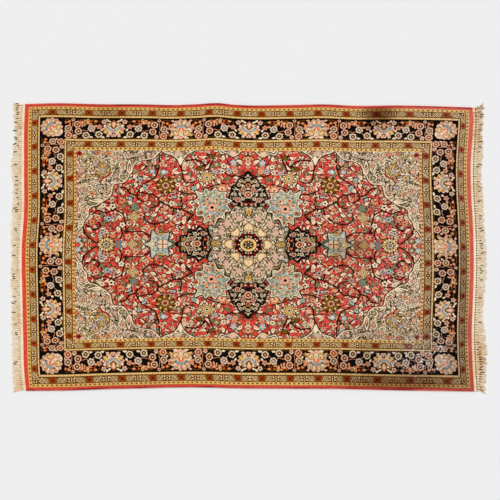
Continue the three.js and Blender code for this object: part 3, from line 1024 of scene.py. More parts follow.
# %% The blue panels
PANEL = [
    (49.6, 36.6), (46.6, 41.6), (51.4, 46), (47.4, 50), (50, 57.4), (43, 54.8), (40, 59), (35.6, 55.4),
    (31, 60), (27.6, 55.4), (20.6, 56), (21.4, 50), (15.4, 47), (20, 42.6), (17, 36.4), (22.4, 34),
    (22.6, 27), (28.4, 27.6), (32.4, 19.4), (36.6, 24), (42, 21.6), (42.4, 29), (48.6, 30),
]
blue_ground = strewn(
    "pale_blue", 12, 5.6, ["brown", "olive", "gold"], ["cream", "pale_blue", "pale_blue", "cream", "blue"],
    [("rose", "madder"), ("orange", "maroon"), ("cream", "crimson"), ("cream", "brown"), ("madder", "cream")],
    "leaf_green", reach=(100, 60), share=0.6,
)
bloom(blue_ground, 34.4, 38.4, 3.8, "rose", "midnight", 8, edge="madder")
for x, y in ((27.6, 36), (41.6, 42), (38.6, 47.4), (30, 46.8), (29.6, 29.4), (38, 29)):
    bloom(blue_ground, x, y, 1.4, "orange", "crimson", 4, edge="cream")
print("panel", len(PANEL), "places")

# %% The midnight pendants
ACROSS_PENDANT = [
    (0, 79), (3.8, 73.6), (8.6, 70.6), (11.0, 65.4), (15.0, 62.4), (16.4, 56), (18, 51), (16.8, 44),
    (12, 39.6), (6, 38.6), (0, 38), (-8, 40), (-16, 45), (-16, 55), (-6, 70),
]
ALONG_PENDANT = [
    (68.4, 0), (63.4, 3.0), (63.2, 8.4), (57.4, 9.4), (55.4, 15.4), (49.6, 14.6), (46.4, 19), (42.4, 15.4),
    (38, 15), (37.4, 9), (34, 6), (33.6, 0), (36, -7), (41, -17), (52, -15), (62, -8),
]
PENDANT_ROSETTES = [
    (0, 54.2, 3.8, "rose", "orange"), (4.6, 59.8, 2.3, "rose", "crimson"),
    (10.1, 48.4, 2.6, "rose", "crimson"), (2.6, 43.5, 2.2, "crimson", "rose"),
    (0, 64, 2.4, "salmon", "maroon"), (12.6, 54.4, 1.5, "cream", "olive"), (47.6, 0, 3.5, "rose", "crimson"),
    (56.4, 0, 2.0, "crimson", "rose"), (53.2, 5.8, 2.2, "rose", "maroon"),
    (42.4, 10.9, 2.2, "rose", "maroon"), (40.2, 4.4, 1.7, "crimson", "salmon"),
    (49.6, 10.6, 1.9, "cream", "brown"), (60.6, 4.6, 1.6, "gold", "maroon"), (36.8, 0, 2.0, "gold", "brown"),
    (0, 70.6, 1.7, "sand", "crimson"), (8.6, 64.6, 1.8, "sand", "brown"), (5.4, 49.6, 1.7, "cream", "brown"),
    (12.8, 42.6, 1.8, "sand", "crimson"),
]
midnight_ground = strewn(
    "midnight", 21, 5.6, ["midnight", "midnight", "sand"],
    ["cream", "sand", "cream", "leaf_green", "midnight"],
    [("rose", "brown"), ("sand", "maroon"), ("cream", "olive"), ("midnight", "crimson"), ("gold", "brown")],
    "midnight", reach=(68, 80), share=0.6,
)
for x, y, radius, petals, middle in PENDANT_ROSETTES:
    rosette(midnight_ground, x, y, petals, middle, radius)
for pendant in (ACROSS_PENDANT, ALONG_PENDANT):
    cut_in(midnight_ground, pendant, "maroon", "midnight")
print("pendants", len(ACROSS_PENDANT), "and", len(ALONG_PENDANT), "places")

# %% The round ground of the medallion
SAND_ROUND = [
    (0, 41), (6.4, 40), (12, 41.6), (16, 37.4), (20.4, 33.6), (22, 27.6), (27.4, 25.4), (31.6, 20),
    (37, 18.6), (36.6, 12.6), (34, 6.4), (34.6, 0), (34, -8), (30, -24), (14, -40), (-10, -42), (-30, -24),
    (-34, 0), (-22, 28),
]
round_ground = strewn(
    "sand", 31, 5.8, ["midnight", "maroon", "olive"], ["cream", "cream", "leaf_green", "cream"],
    [("mauve", "rose"), ("rose", "pale_blue"), ("cream", "maroon"), ("pale_blue", "rose"),
     ("cream", "olive")],
    "maroon", reach=(38, 42), share=0.45,
)
for x, y in ((9, 28), (25.2, 12.4), (20, 22)):
    bloom(round_ground, x, y, 2.7, "rose", "pale_blue", 6, turn=15, edge="mauve")
cut_in(round_ground, SAND_ROUND, "midnight", "leaf_green")
for x, y, turn in ((0, 39, -90), (33.6, 0, 180)):
    for shift in (-38, -19, 0, 19, 38):
        leaf(field, x, y, 9.6 - abs(shift) / 9, 3.2, turn + shift, "maroon")
        leaf(field, x, y, 8.8 - abs(shift) / 9, 2.2, turn + shift, "gold")
cut_in(blue_ground, PANEL, "maroon", "cream", 1.4)
print("medallion", len(SAND_ROUND), "places")

# %% Hearts and ring


def gold_heart(paper, turn, near, far, lobes):
    """A gold heart round the ring. Its lobes look outwards, or inwards where lobes is -1."""
    c, s = heading(turn)
    middle = (near + far) / 2
    for shrink, colour in ((1.16, "maroon"), (1.0, "gold"), (0.74, "sand"), (0.5, "cream"), (0.22, "rose")):
        half, side = (far - near) / 2 * shrink * lobes, 4.4 * shrink
        lobe = (middle + half * 0.9, side * 0.8)
        places = [
            (middle - half, 0), (middle, side), lobe, (middle + half * 0.65, 0), (lobe[0], -lobe[1]),
            (middle, -side),
        ]
        patch(paper, [(p * c - q * s, (p * s + q * c) * 1.06) for p, q in places], colour)


spot(field, 0, 0, 12.9, "maroon", 16, 0.06)
for number in range(24):
    c, s = heading(number * 15)
    spot(field, 9.0 * c, 9.0 * s, 0.8, ("rose", "midnight", "cream")[number % 3])
    spot(field, 11.0 * c, 11.2 * s, 0.9, ("crimson", "midnight")[number % 2])
    spot(field, 12.6 * c, 12.9 * s, 0.7, ("rose", "midnight", "sand")[number % 3])
for turn, near, far, lobes in ((0, 14, 22.4, -1), (45, 13, 20.4, 1), (90, 14, 22.4, -1)):
    gold_heart(field, turn, near, far, lobes)
for radius, colour in ((7.6, "maroon"), (7.0, "cream"), (6.4, "gold"), (4.6, "brown"), (3.7, "midnight"),
                       (1.5, "olive")):
    spot(field, 0, 0, radius, colour, flat=1.07)
for turn in range(30, 390, 60):
    c, s = heading(turn)
    spot(field, 2.7 * c, 2.6 * s, 0.6, "cream")
print("medallion: 8 hearts round a ring")

# %% The blue star
STAR = [
    (97, 0), (91.4, 3), (90.6, 8), (89.4, 14.8), (84.6, 9.6), (79.6, 10), (74.4, 12.6), (74.6, 7.4),
    (75, 3.4), (70.6, 0), (75, -8), (86, -9), (92, -3),
]
STAR_MIDDLE = 79.6
cut_in(blue_ground, STAR, "midnight", "pale_blue", 3.4)
stem(field, [(84, 10.4), (80, 11.2), (75.6, 11)], 1.3, "gold")
for x, y, radius in ((88.2, 2.8, 1.3), (92.4, 0, 1.3), (73.4, 0, 0.9), (87.6, 9, 1.0)):
    bloom(field, x, y, radius, "gold", "orange", 4, edge="cream")
for reach, colour in ((5.6, "blue"), (4.7, "cream")):
    spot(field, STAR_MIDDLE, 0, reach, colour, 4, 0.12, 45)
for turn in range(0, 360, 90):
    c, s = heading(turn)
    leaf(field, STAR_MIDDLE + c, s, 3.6, 1.6, turn, "crimson")
    spot(field, STAR_MIDDLE + 2.7 * (c - s), 2.7 * (s + c), 0.9, "gold")
spot(field, STAR_MIDDLE, 0, 1.0, "midnight")
print("star", len(STAR), "places")

# %% The four quarters
half = np.concatenate([chart[:, ::-1], chart], axis=1)
whole = np.concatenate([half[::-1], half], axis=0)
print("knots in the rug", whole.shape, whole.size)

# %% [markdown]
# ## The pile
#
# More than a million knots are far too many to model, so the pile is one closed slab, with a face for
# every block of 6 by 6 knots. Each face carries the dye numbers of its 36 knots as an attribute. A
# number below 16 is one digit in base 16, and six digits fit exactly in a float, so a row of six knots
# is one float, and a block's six rows are two vectors of three. The material unpacks them. An image
# texture would do as well, but this keeps the chart on the mesh, as sharp as the knots themselves.

# %% Spreading the chart over the rug
PILE_ROUNDING = 1.6

# Squares from the middle, and where they fall in mm. The weaver's beat is never quite even.
ALONG = [
    (-210, -950), (-203.3, -919.4), (-196.7, -892), (-194.8, -883.3), (-172.1, -778), (-161.4, -727.7),
    (0, 3), (161.4, 731), (170.2, 774.4), (172.1, 783), (194.8, 888), (196.7, 896.4), (203.3, 921),
    (210, 950),
]
ACROSS = [
    (-152, -595.2), (-139.2, -544.2), (-136.6, -534), (-113.9, -435.4), (-111.3, -427), (-104.6, -402.6),
    (-101.2, -391), (0, 9), (101.2, 407.4), (113.9, 454.3), (136.6, 543), (139.2, 552.4), (146.5, 577),
    (152, 595.2),
]


def spread(points):
    """Moves points of the block grid, counted from its middle, to straight places in mm."""
    points = np.array(points, float)
    for axis, table in enumerate((ALONG, ACROSS)):
        squares, places = np.array(table).T
        points[:, axis] = np.interp(points[:, axis] * (BLOCK / SQUARE), squares, places)
    return points


# %% The slab


def new_slab(columns, rows, size):
    """A closed slab about the Z axis, with a grid of faces on its top and on its underside."""
    bm = bmesh.new()
    bmesh.ops.create_grid(bm, x_segments=columns, y_segments=rows, size=0.5)
    bmesh.ops.scale(bm, vec=(size[0], size[1], 1), verts=bm.verts)
    under = list(bm.faces)
    raised = bmesh.ops.extrude_face_region(bm, geom=bm.faces, use_keep_orig=True)["geom"]
    bmesh.ops.reverse_faces(bm, faces=under)
    for item in raised:
        if isinstance(item, bmesh.types.BMVert):
            item.co.z = size[2]
    return bm


bm = new_slab(*BLOCKS, (*BLOCKS, THICKNESS))
knots_map = bm.loops.layers.uv.new("knots")
bake_map = bm.loops.layers.uv.new("OFBake")
for face in bm.faces:
    for loop in face.loops:
        loop[knots_map].uv = (loop.vert.co.x + BLOCKS[0] / 2, loop.vert.co.y + BLOCKS[1] / 2)
print("slab", len(bm.verts), "points", len(bm.faces), "faces")

# %% Laying the slab down and rounding its rim
move_points(bm, lambda points: lay_down(spread(points)))
# The sides, which were made flat, have no normals yet. So the four upright edges aren't found here.
rim = [edge for edge in bm.edges if edge.calc_face_angle() > 1]
bmesh.ops.bevel(
    bm, geom=rim, offset=PILE_ROUNDING / 1000, segments=3, profile=0.5, affect="EDGES", material=-1
)
print("rim", len(rim), "edges; slab", len(bm.faces), "faces")

# %% [markdown]
# Two UV maps follow the slab. The first counts blocks, and is made before the slab is bent, so that
# the pattern bends with it. The second is for baking: it gives most of the square to the pile's top,
# a smaller part to the back, and thin strips to the four sides.

# %% The two maps
MARGIN = 0.005
TOP_PART = (0.37, 0.995)
BACK_PART = (0.005, 0.27)
SIDE_STRIPS = {"south": 0.28, "north": 0.30, "west": 0.32, "east": 0.34}
STRIP = 0.015
INSET = 0.05  # of a block, which keeps the outermost points on the map inside their blocks

most = np.array(BLOCKS) - INSET
corners = np.array([vert.co for vert in bm.verts])
low, size = corners.min(axis=0), np.ptp(corners, axis=0)


def bake_place(point, normal):
    """Where a point of the slab goes on the map for baking."""
    x, y, z = (np.array(point) - low) / size
    along, across = MARGIN + (1 - 2 * MARGIN) * x, MARGIN + (1 - 2 * MARGIN) * y
    for part, towards in ((TOP_PART, normal.z), (BACK_PART, -normal.z)):
        if towards > 0.3:
            return along, part[0] + (part[1] - part[0]) * y
    if abs(normal.y) > abs(normal.x):
        return along, SIDE_STRIPS["north" if normal.y > 0 else "south"] + STRIP * z
    return across, SIDE_STRIPS["east" if normal.x > 0 else "west"] + STRIP * z


for face in bm.faces:
    for loop in face.loops:
        loop[bake_map].uv = bake_place(loop.vert.co, face.normal)
        loop[knots_map].uv = np.clip(loop[knots_map].uv, INSET, most)


def new_piece(bm, name, material):
    """Makes an object of a finished bmesh, with its points where the piece is."""
    mesh = bpy.data.meshes.new(name)
    bm.to_mesh(mesh)
    bm.free()
    mesh.polygons.foreach_set("use_smooth", [True] * len(mesh.polygons))
    mesh.materials.append(material)
    piece = bpy.data.objects.new(name, mesh)
    bpy.context.collection.objects.link(piece)
    return piece


pile_material, tree = new_material("cut pile of wool and silk")
pile = new_piece(bm, "rug_pile", pile_material)
print(pile.name, len(pile.data.polygons), "faces")

# %% The knots of each block
BASE = 16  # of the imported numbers, so that one digit holds one of the 16 dyes

digits = whole.reshape(BLOCKS[1], BLOCK, BLOCKS[0], BLOCK).astype(float)
rows = (digits * float(BASE) ** np.arange(BLOCK)).sum(axis=3).transpose(0, 2, 1)

places = np.empty(len(pile.data.loops) * 2)
pile.data.uv_layers["knots"].data.foreach_get("uv", places)
starts = np.array([polygon.loop_start for polygon in pile.data.polygons])
counts = np.array([polygon.loop_total for polygon in pile.data.polygons])
block = (np.add.reduceat(places.reshape(-1, 2), starts) / counts[:, None]).astype(int)
for name, part in (("lower_knot_rows", rows[:, :, :3]), ("upper_knot_rows", rows[:, :, 3:])):
    attribute = pile.data.attributes.new(name, "FLOAT_VECTOR", "FACE")
    attribute.data.foreach_set("vector", part[block[:, 1], block[:, 0]].ravel())
print("packed rows up to", rows.max())

# %% [markdown]
# ### Unpacking the knots in the material
#
# The whole part of the block map says nothing here, since each face has its own numbers. Its
# fraction, times six, gives the column and row of the knot in the block. The row picks one of the
# six floats, by a dot product with a vector that is 1 at that row and 0 at the others. The column
# picks the digit: divide by 16 to the power of the column, drop the fraction, and keep the rest
# after 16. A ramp with 16 hard steps then gives the dye. A chain of sums is a loop over its steps,
# where each node takes the one before it as its first input.

# %% Column and row of a knot
RAGGED = 0.25  # of a knot, how far the pile's tips stray over the neighbouring knot
NOISE_GAIN = 4  # which brings a noise's spread to each side, about a quarter, up to 1
EDGE = 0.001  # of a block, which a straying tip keeps from its edge

knot_map = add_node(tree, "UVMap", uv_map="knots")
in_block = add_node(tree, "TexNoise", {"Vector": knot_map, "Scale": 14.0, "Detail": 1.0}).outputs["Color"]
for operation, value in (
    ("SUBTRACT", (0.5,) * 3), ("MULTIPLY", (RAGGED / BLOCK * NOISE_GAIN,) * 3),
    ("ADD", add_node(tree, "VectorMath", (knot_map,), operation="FRACTION")),
    ("MAXIMUM", (EDGE,) * 3), ("MINIMUM", (1 - EDGE,) * 3),
):
    in_block = add_node(tree, "VectorMath", (in_block, value), operation=operation)
in_knots = add_node(tree, "VectorMath", (in_block, (BLOCK,) * 3), operation="MULTIPLY")
knot = add_node(tree, "VectorMath", (in_knots,), operation="FLOOR")
column, row, _ = add_node(tree, "SeparateXYZ", (knot,)).outputs
print(len(tree.nodes), "nodes find the knot")

# %% Dye of a knot
packed = 0.0
rows_vector = add_node(tree, "CombineXYZ", (row, row, row))
for name, first in (("lower_knot_rows", 0), ("upper_knot_rows", 3)):
    away = add_node(tree, "VectorMath", (rows_vector, (first, first + 1, first + 2)), operation="SUBTRACT")
    away = add_node(tree, "VectorMath", (away,), operation="ABSOLUTE")
    is_row = add_node(tree, "VectorMath", ((1, 1, 1), away), operation="SUBTRACT")
    is_row = add_node(tree, "VectorMath", (is_row, (0, 0, 0)), operation="MAXIMUM")
    numbers = add_node(tree, "Attribute", attribute_name=name).outputs["Vector"]
    chosen = add_node(tree, "VectorMath", (numbers, is_row), operation="DOT_PRODUCT").outputs["Value"]
    packed = add_node(tree, "Math", (chosen, packed), operation="ADD")
power = add_node(tree, "Math", (BASE, column), operation="POWER")
for operation, *values in (("DIVIDE", power), ("FLOOR",), ("MODULO", BASE), ("ADD", 0.5), ("DIVIDE", BASE)):
    packed = add_node(tree, "Math", (packed, *values), operation=operation)
dyes = [(number / BASE, hex_value) for number, hex_value in enumerate(DYES.values())]
dyed = add_node(tree, "ValToRGB", (packed,), dyes)
dyed.color_ramp.interpolation = "CONSTANT"
print(len(tree.nodes), "nodes with the dyes")

# %% [markdown]
# ### From dye to wool
#
# Flat dyes would look printed. On a real rug each tuft takes the dye a little differently, and a new
# lot of wool starts a band of another shade right across the rug, which is called abrash. Towards
# one end the colours are duller, which is painted sheen. By one long side a dark brown patch is
# painted shade, where the nap of the pile turns from the light, and one corner has paler colours and
# pale flecks, which are painted sheen. Some other places are made darker or paler. All of these are
# soft masks over the dye.

# %% Shades of the wool
place = add_node(tree, "TexCoord").outputs["Object"]
along = add_node(tree, "SeparateXYZ", (place,)).outputs["X"]
cloud = add_node(tree, "TexNoise", {"Vector": place, "Scale": 9.0, "Detail": 3.0})

knot_number = knot_map
for operation, *values in (("FLOOR",), ("MULTIPLY", (BLOCK,) * 3), ("ADD", knot)):
    knot_number = add_node(tree, "VectorMath", (knot_number, *values), operation=operation)
tuft = add_node(tree, "TexWhiteNoise", {"Vector": knot_number})
bands = add_node(tree, "TexNoise", {"W": along, "Scale": 11.0, "Detail": 3.0}, noise_dimensions="1D")
shade = add_node(tree, "Math", (bands, 0.14, 0.84), operation="MULTIPLY_ADD")
shade = add_node(tree, "Math", (tuft, 0.2, shade), operation="MULTIPLY_ADD")
wool = add_node(tree, "VectorMath", (dyed, shade), operation="MULTIPLY")
print(len(tree.nodes), "nodes with the shades")

# %% The painted sheen of a corner


def soft_patch(x, y, reach_x, reach_y):
    """1 at a place of the rug in metres, and softly less up to its ragged reach."""
    away = add_node(tree, "VectorMath", (place, (x, y, 0)), operation="SUBTRACT")
    away = add_node(tree, "VectorMath", (away, (1 / reach_x, 1 / reach_y, 0)), operation="MULTIPLY")
    away = add_node(tree, "VectorMath", (away,), operation="LENGTH").outputs["Value"]
    away = add_node(tree, "Math", (away, 0.4), operation="SUBTRACT")
    away = add_node(tree, "Math", (cloud, 0.8, away), operation="MULTIPLY_ADD")
    inputs = {"Value": away, "From Min": 1.0, "From Max": 0.25}
    return add_node(tree, "MapRange", inputs, interpolation_type="SMOOTHSTEP")


# A corner has paler, less saturated colours and pale flecks: painted sheen.
painted_sheen = soft_patch(0.74, -0.45, 0.2, 0.13)
sheen_flecks = add_node(tree, "TexNoise", {"Vector": place, "Scale": 95.0, "Detail": 2.0})
for operation, value in (("SUBTRACT", 0.59), ("MAXIMUM", 0.0), ("MULTIPLY", 9.0), ("MULTIPLY", painted_sheen)):
    sheen_flecks = add_node(tree, "Math", (sheen_flecks, value), operation=operation)
# Towards the east end the colours are duller: painted sheen.
eastward_sheen = add_node(tree, "MapRange", {"Value": along, "From Min": 0.2, "From Max": 0.9, "To Max": 0.1})
saturation = add_node(tree, "Math", (painted_sheen, -0.15, 1.07), operation="MULTIPLY_ADD")
saturation = add_node(tree, "Math", (saturation, eastward_sheen), operation="SUBTRACT")
wool = add_node(tree, "HueSaturation", {"Color": wool, "Saturation": saturation})
print(len(tree.nodes), "nodes with the washed corner")

# %% Painted shade and sheen, and darker and paler places
MIX, A, B = 0, 4, 5  # the sockets of a Mix node for vectors, which share their names with others
SHADE_SHEEN_AND_TONE = [  # a place and its reach in metres, and the factors for red, green and blue
    (0.56, 0.575, 0.115, 0.055, (0.34, 0.24, 0.12)),  # a dark brown patch, painted shade of the nap
    (0.56, 0.53, 0.1, 0.05, (0.66, 0.6, 0.54)),  # its fainter part inwards, painted shade too
    (-0.58, 0.57, 0.1, 0.05, (0.8, 0.74, 0.65)),
    (0.72, -0.5, 0.55, 0.26, (0.7, 0.68, 0.66)),  # darker round the corner of painted sheen
    (0.62, -0.57, 0.36, 0.06, (0.55, 0.42, 0.33)),
    (-0.55, -0.575, 0.4, 0.05, (0.9, 0.88, 0.9)),
    (1.0, -0.1, 0.32, 0.9, (0.86, 0.83, 0.8)),  # the whole east end
    (0.909, -0.2, 0.03, 0.5, (0.66, 0.66, 0.7)),  # two bands in its borders
    (0.757, -0.05, 0.03, 0.55, (0.84, 0.85, 0.88)),
    (0.42, 0.0, 0.17, 0.07, (0.7, 0.6, 0.5)),
    (0.02, 0.36, 0.75, 0.4, (1.07, 1.09, 1.14)),  # a paler stretch, painted sheen
]
for x, y, reach_x, reach_y, tint in SHADE_SHEEN_AND_TONE:
    tinted = add_node(tree, "VectorMath", (wool, tint), operation="MULTIPLY")
    inputs = {MIX: soft_patch(x, y, reach_x, reach_y), A: wool, B: tinted}
    wool = add_node(tree, "Mix", inputs, data_type="VECTOR").outputs[1]
# The pale flecks are painted highlights of the sheen.
wool = add_node(tree, "Mix", {MIX: sheen_flecks, A: wool, B: (0.8, 0.77, 0.72)}, data_type="VECTOR").outputs[1]
print(len(tree.nodes), "nodes with the shade_sheen_and_tone")

# %% [markdown]
# The tufts stand up as small domes in the bump, and the surface is nearly without gloss, with a faint
# sheen where the cut fibre tips catch the light.

# %% Finish of the pile
tip = add_node(tree, "VectorMath", (in_knots,), operation="FRACTION")
tip = add_node(tree, "VectorMath", (tip, (0.5, 0.5, 0)), operation="SUBTRACT")
tip = add_node(tree, "VectorMath", (tip, (1, 1, 0)), operation="MULTIPLY")
from_tip = add_node(tree, "VectorMath", (tip,), operation="LENGTH").outputs["Value"]
dome = add_node(tree, "Math", (tuft, 0.5), operation="MULTIPLY")
dome = add_node(tree, "Math", (dome, from_tip), operation="SUBTRACT")
inputs = {"Base Color": wool, "Roughness": 0.9, "Specular IOR Level": 0.08}
inputs |= {"Sheen Weight": 0.02, "Sheen Roughness": 0.5}
finish_material(tree, inputs, height=dome, distance=0.0005)
print("finished", pile_material.name)
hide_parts("pile_body")
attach(pile, "root")

# %% [markdown]
# ## The overcast selvedges
#
# Along each long side the last warps are bundled to a cord, and red wool is wound over it turn by
# turn. A circle could be spun along the rug, but fifteen hundred steps of spin are slow. A grid that
# is rolled up into a tube is quick, and its own squares become the map along and round the yarn. One
# ring is at the crown of each turn and one in the groove after it. Every ring is tilted, because the
# yarn climbs as it goes round, and no two turns are pulled equally tight.

# %% A tube


def tube(sides, rings):
    """A tube of radius 1 from 0 to 1 along X, with a map that runs along it and round it."""
    bm = bmesh.new()
    bmesh.ops.create_grid(bm, x_segments=rings - 1, y_segments=sides, size=0.5)
    yarn_map = bm.loops.layers.uv.new("yarn")
    for face in bm.faces:
        for loop in face.loops:
            loop[yarn_map].uv = (loop.vert.co.x + 0.5, loop.vert.co.y)

    def roll(points):
        x, turn = points[:, 0] + 0.5, 2 * np.pi * points[:, 1]
        return np.stack([x, np.cos(turn), np.sin(turn)], axis=1)

    move_points(bm, roll)
    bmesh.ops.remove_doubles(bm, verts=bm.verts, dist=0.0001)
    bmesh.ops.holes_fill(bm, edges=[edge for edge in bm.edges if edge.is_boundary])
    bmesh.ops.recalc_face_normals(bm, faces=bm.faces)
    return bm


print("tube: length 1, radius 1")

# %% A wound cord
SELVEDGE_WIDTH = 7
SELVEDGE_MIDDLE = 599
TURN = 2.6  # mm from one turn of the yarn to the next
GROOVE = 0.45
TILT = 0.7
SIDES = 10
RINGS = 2 * round(PILE_LENGTH / TURN) + 1


def wound_cord(side):
    """The cord along one long side, which is 1 for the photo's top and -1 for its bottom."""
    chance = np.random.default_rng(11 + side)
    tightness = chance.normal(1, 0.025, RINGS)
    shift = chance.normal(0, 0.12, RINGS)
    bm = tube(SIDES, RINGS)

    def wind(points):
        n = np.rint(points[:, 0] * (RINGS - 1)).astype(int)
        across, up = points[:, 1], points[:, 2]
        radius = (SELVEDGE_WIDTH / 2 - GROOVE * (n % 2)) * np.minimum(tightness[n], 1)
        x = (points[:, 0] - 0.5) * PILE_LENGTH + shift[n] + TILT * across
        x = np.clip(x, -PILE_LENGTH / 2, PILE_LENGTH / 2)
        y = side * SELVEDGE_MIDDLE + radius * across
        return lay_down(np.stack([x, y, THICKNESS / 2 + radius * up], axis=1))

    move_points(bm, wind)
    return bm


print("cord of", RINGS // 2, "turns")

# %% [markdown]
# The wool of the overcasting was dyed in small lots, so it changes from crimson to a lighter
# orange-red in long stretches, and a little from turn to turn. The map of the tube tells the turns
# apart. A fine noise that is stretched round the cord gives the twisted fibres of the yarn.

# %% Overcast wool
overcast_wool, tree = new_material("overcast wool")
yarn_map = add_node(tree, "UVMap", uv_map="yarn")
along_cord, round_cord, _ = add_node(tree, "SeparateXYZ", (yarn_map,)).outputs
turn_number = add_node(tree, "Math", (along_cord, RINGS // 2), operation="MULTIPLY")
turn_number = add_node(tree, "Math", (turn_number,), operation="FLOOR")
turn_shade = add_node(tree, "TexWhiteNoise", {"W": turn_number}, noise_dimensions="1D")
turn_shade = add_node(tree, "Math", (turn_shade, 0.25), operation="MULTIPLY")
place = add_node(tree, "TexCoord").outputs["Object"]
lot = add_node(tree, "TexNoise", {"Vector": place, "Scale": 7.0, "Detail": 2.0})
lot = add_node(tree, "Math", (lot, 3.0, -1.1), operation="MULTIPLY_ADD")
lot = add_node(tree, "Math", (lot, turn_shade), operation="ADD")
reds = add_node(tree, "ValToRGB", (lot,), [(0.1, "9c1c12"), (0.9, "dc5f4c")])
along_fibres = add_node(tree, "Math", (along_cord, 2600.0), operation="MULTIPLY")
round_fibres = add_node(tree, "Math", (round_cord, 12.0), operation="MULTIPLY")
fibre_map = add_node(tree, "CombineXYZ", (along_fibres, round_fibres))
finish_material(
    tree,
    {"Base Color": reds, "Roughness": 0.9, "Specular IOR Level": 0.25, "Sheen Weight": 0.1},
    height=add_node(tree, "TexNoise", {"Vector": fibre_map, "Scale": 1.0, "Detail": 2.0}),
    distance=0.0004,
)

for name, side in (("north", 1), ("south", -1)):
    cord = new_piece(wound_cord(side), "overcast_" + name, overcast_wool)
    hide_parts("selvedge_" + name)
    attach(cord, "root")
    print(cord.name, len(cord.data.polygons), "faces")

# %% [markdown]
# ## The flat-woven webs
#
# Before the first row of knots and after the last, the weaver beats in a narrow band of plain cotton
# weft, which holds the pile in place. It is a thin slab whose top is a grid, two lines to a thread,
# and the crossings stand up by turns, as over and under in a plain weave.

# %% A plain-woven band
WEB_START, WEB_END = 950.3, 961.3
WEB_THICKNESS = 2.4
WARP_PITCH = 2.9
WEFT_PITCH = 2.2
CROSSING = 0.3


def woven_band(way):
    """The web at one end, which is 1 for the photo's right and -1 for its left."""
    wefts = round((WEB_END - WEB_START) / WEFT_PITCH) * 2
    warps = round(RUG_WIDTH / WARP_PITCH) * 2
    bm = new_slab(wefts, warps, (1, 1, 1))

    def weave(points):
        out = np.rint((points[:, 0] + 0.5) * wefts)
        along = np.rint((points[:, 1] + 0.5) * warps)
        over = (-1.0) ** (out // 2 + along // 2) * (along % 2)
        x = way * (WEB_START + (WEB_END - WEB_START) * (points[:, 0] + 0.5))
        y = points[:, 1] * RUG_WIDTH
        z = points[:, 2] * (WEB_THICKNESS - CROSSING + CROSSING * over)
        return lay_down(np.stack([x, y, z], axis=1))

    move_points(bm, weave)
    if way < 0:
        bmesh.ops.reverse_faces(bm, faces=bm.faces)
    return bm


print("web", WEB_END - WEB_START, "mm wide")

# %% [markdown]
# Web and fringe are the same undyed cotton. It is matt, warm and pale, a little darker in some
# yarns than in others, because undyed cotton ages and takes up dust unevenly, and yellower towards
# two corners. A nearly black cotton is painted shade in the gaps between the bundles, and since it
# only has other tones, one loop makes both materials. The yarns are twisted, which shows as slanting
# stripes: a sine that runs along the yarn and round it at once.

# %% Undyed cotton, and near-black cotton for painted shade
# The second cotton is near-black, painted shade for the gaps between the bundles.
COTTONS = {
    "undyed twisted cotton": ("b47c46", "f6cf9c", "fff2d4"),
    "near-black cotton for painted shade": ("140a04", "24140a", "3e2614"),
}
TWISTS = 16.0  # turns in a yarn

cottons = []
for name, tones in COTTONS.items():
    material, tree = new_material(name)
    cottons.append(material)
    place = add_node(tree, "TexCoord").outputs["Object"]
    by_yarn = add_node(tree, "VectorMath", (place, (14, 420, 90)), operation="MULTIPLY")
    by_yarn = add_node(tree, "TexNoise", {"Vector": by_yarn, "Scale": 1.0})
    by_stretch = add_node(tree, "TexNoise", {"Vector": place, "Scale": 6.0, "Detail": 2.0})
    x, y, _ = add_node(tree, "SeparateXYZ", (place,)).outputs
    eastward = add_node(tree, "Math", (x, 0.0), operation="MAXIMUM")
    yellowed = add_node(tree, "Math", (y,), operation="ABSOLUTE")
    for value in (eastward, -0.22):
        yellowed = add_node(tree, "Math", (yellowed, value), operation="MULTIPLY")
    age = add_node(tree, "Math", (by_stretch, 0.45, yellowed), operation="MULTIPLY_ADD")
    age = add_node(tree, "Math", (by_yarn, 0.75, age), operation="MULTIPLY_ADD")
    colour = add_node(tree, "ValToRGB", (age,), list(zip((0.34, 0.46, 0.66), tones)))
    yarn_map = add_node(tree, "UVMap", uv_map="yarn")
    along_yarn, round_yarn, _ = add_node(tree, "SeparateXYZ", (yarn_map,)).outputs
    twist = along_yarn
    for operation, *values in (("MULTIPLY", TWISTS), ("ADD", round_yarn), ("MULTIPLY", 2 * np.pi), ("SINE",)):
        twist = add_node(tree, "Math", (twist, *values), operation=operation)
    fuzz = add_node(tree, "TexNoise", {"Vector": place, "Scale": 1500.0})
    strands = add_node(tree, "Math", (twist, 0.35, fuzz), operation="MULTIPLY_ADD")
    inputs = {"Base Color": colour, "Roughness": 0.92, "Specular IOR Level": 0.25, "Sheen Weight": 0.08}
    finish_material(tree, inputs, height=strands, distance=0.0003)
cotton, shade_cotton = cottons

for name, way in (("west", -1), ("east", 1)):
    web = new_piece(woven_band(way), "web_" + name, cotton)
    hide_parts("fringe_" + name)
    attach(web, "root")
    print(web.name, len(web.data.polygons), "faces")

# %% [markdown]
# ## The fringe
#
# Outside the web the warps run on, tied in bundles by one overhand knot each. Below the knot the
# yarns open out, cling to their neighbours in clumps and lie on the floor. There are hundreds of
# bundles and each has several yarns, so one yarn and one knot are modelled with a few dozen faces,
# an Array modifier makes all the copies in one place, and one function per shape then puts every
# copy where it lies. Their places, clumps, leaning and lengths follow the bundles of the solids.
#
# Dark marks stand in a row between web and knots at the right end, and as short slits between the
# bundles of both. They are painted shade, built as near-black cotton: the two last wefts, twined
# round each other and seen between the feet of the bundles, and a pair of yarns in each gap, which
# comes up from under its neighbours and dips under them again.

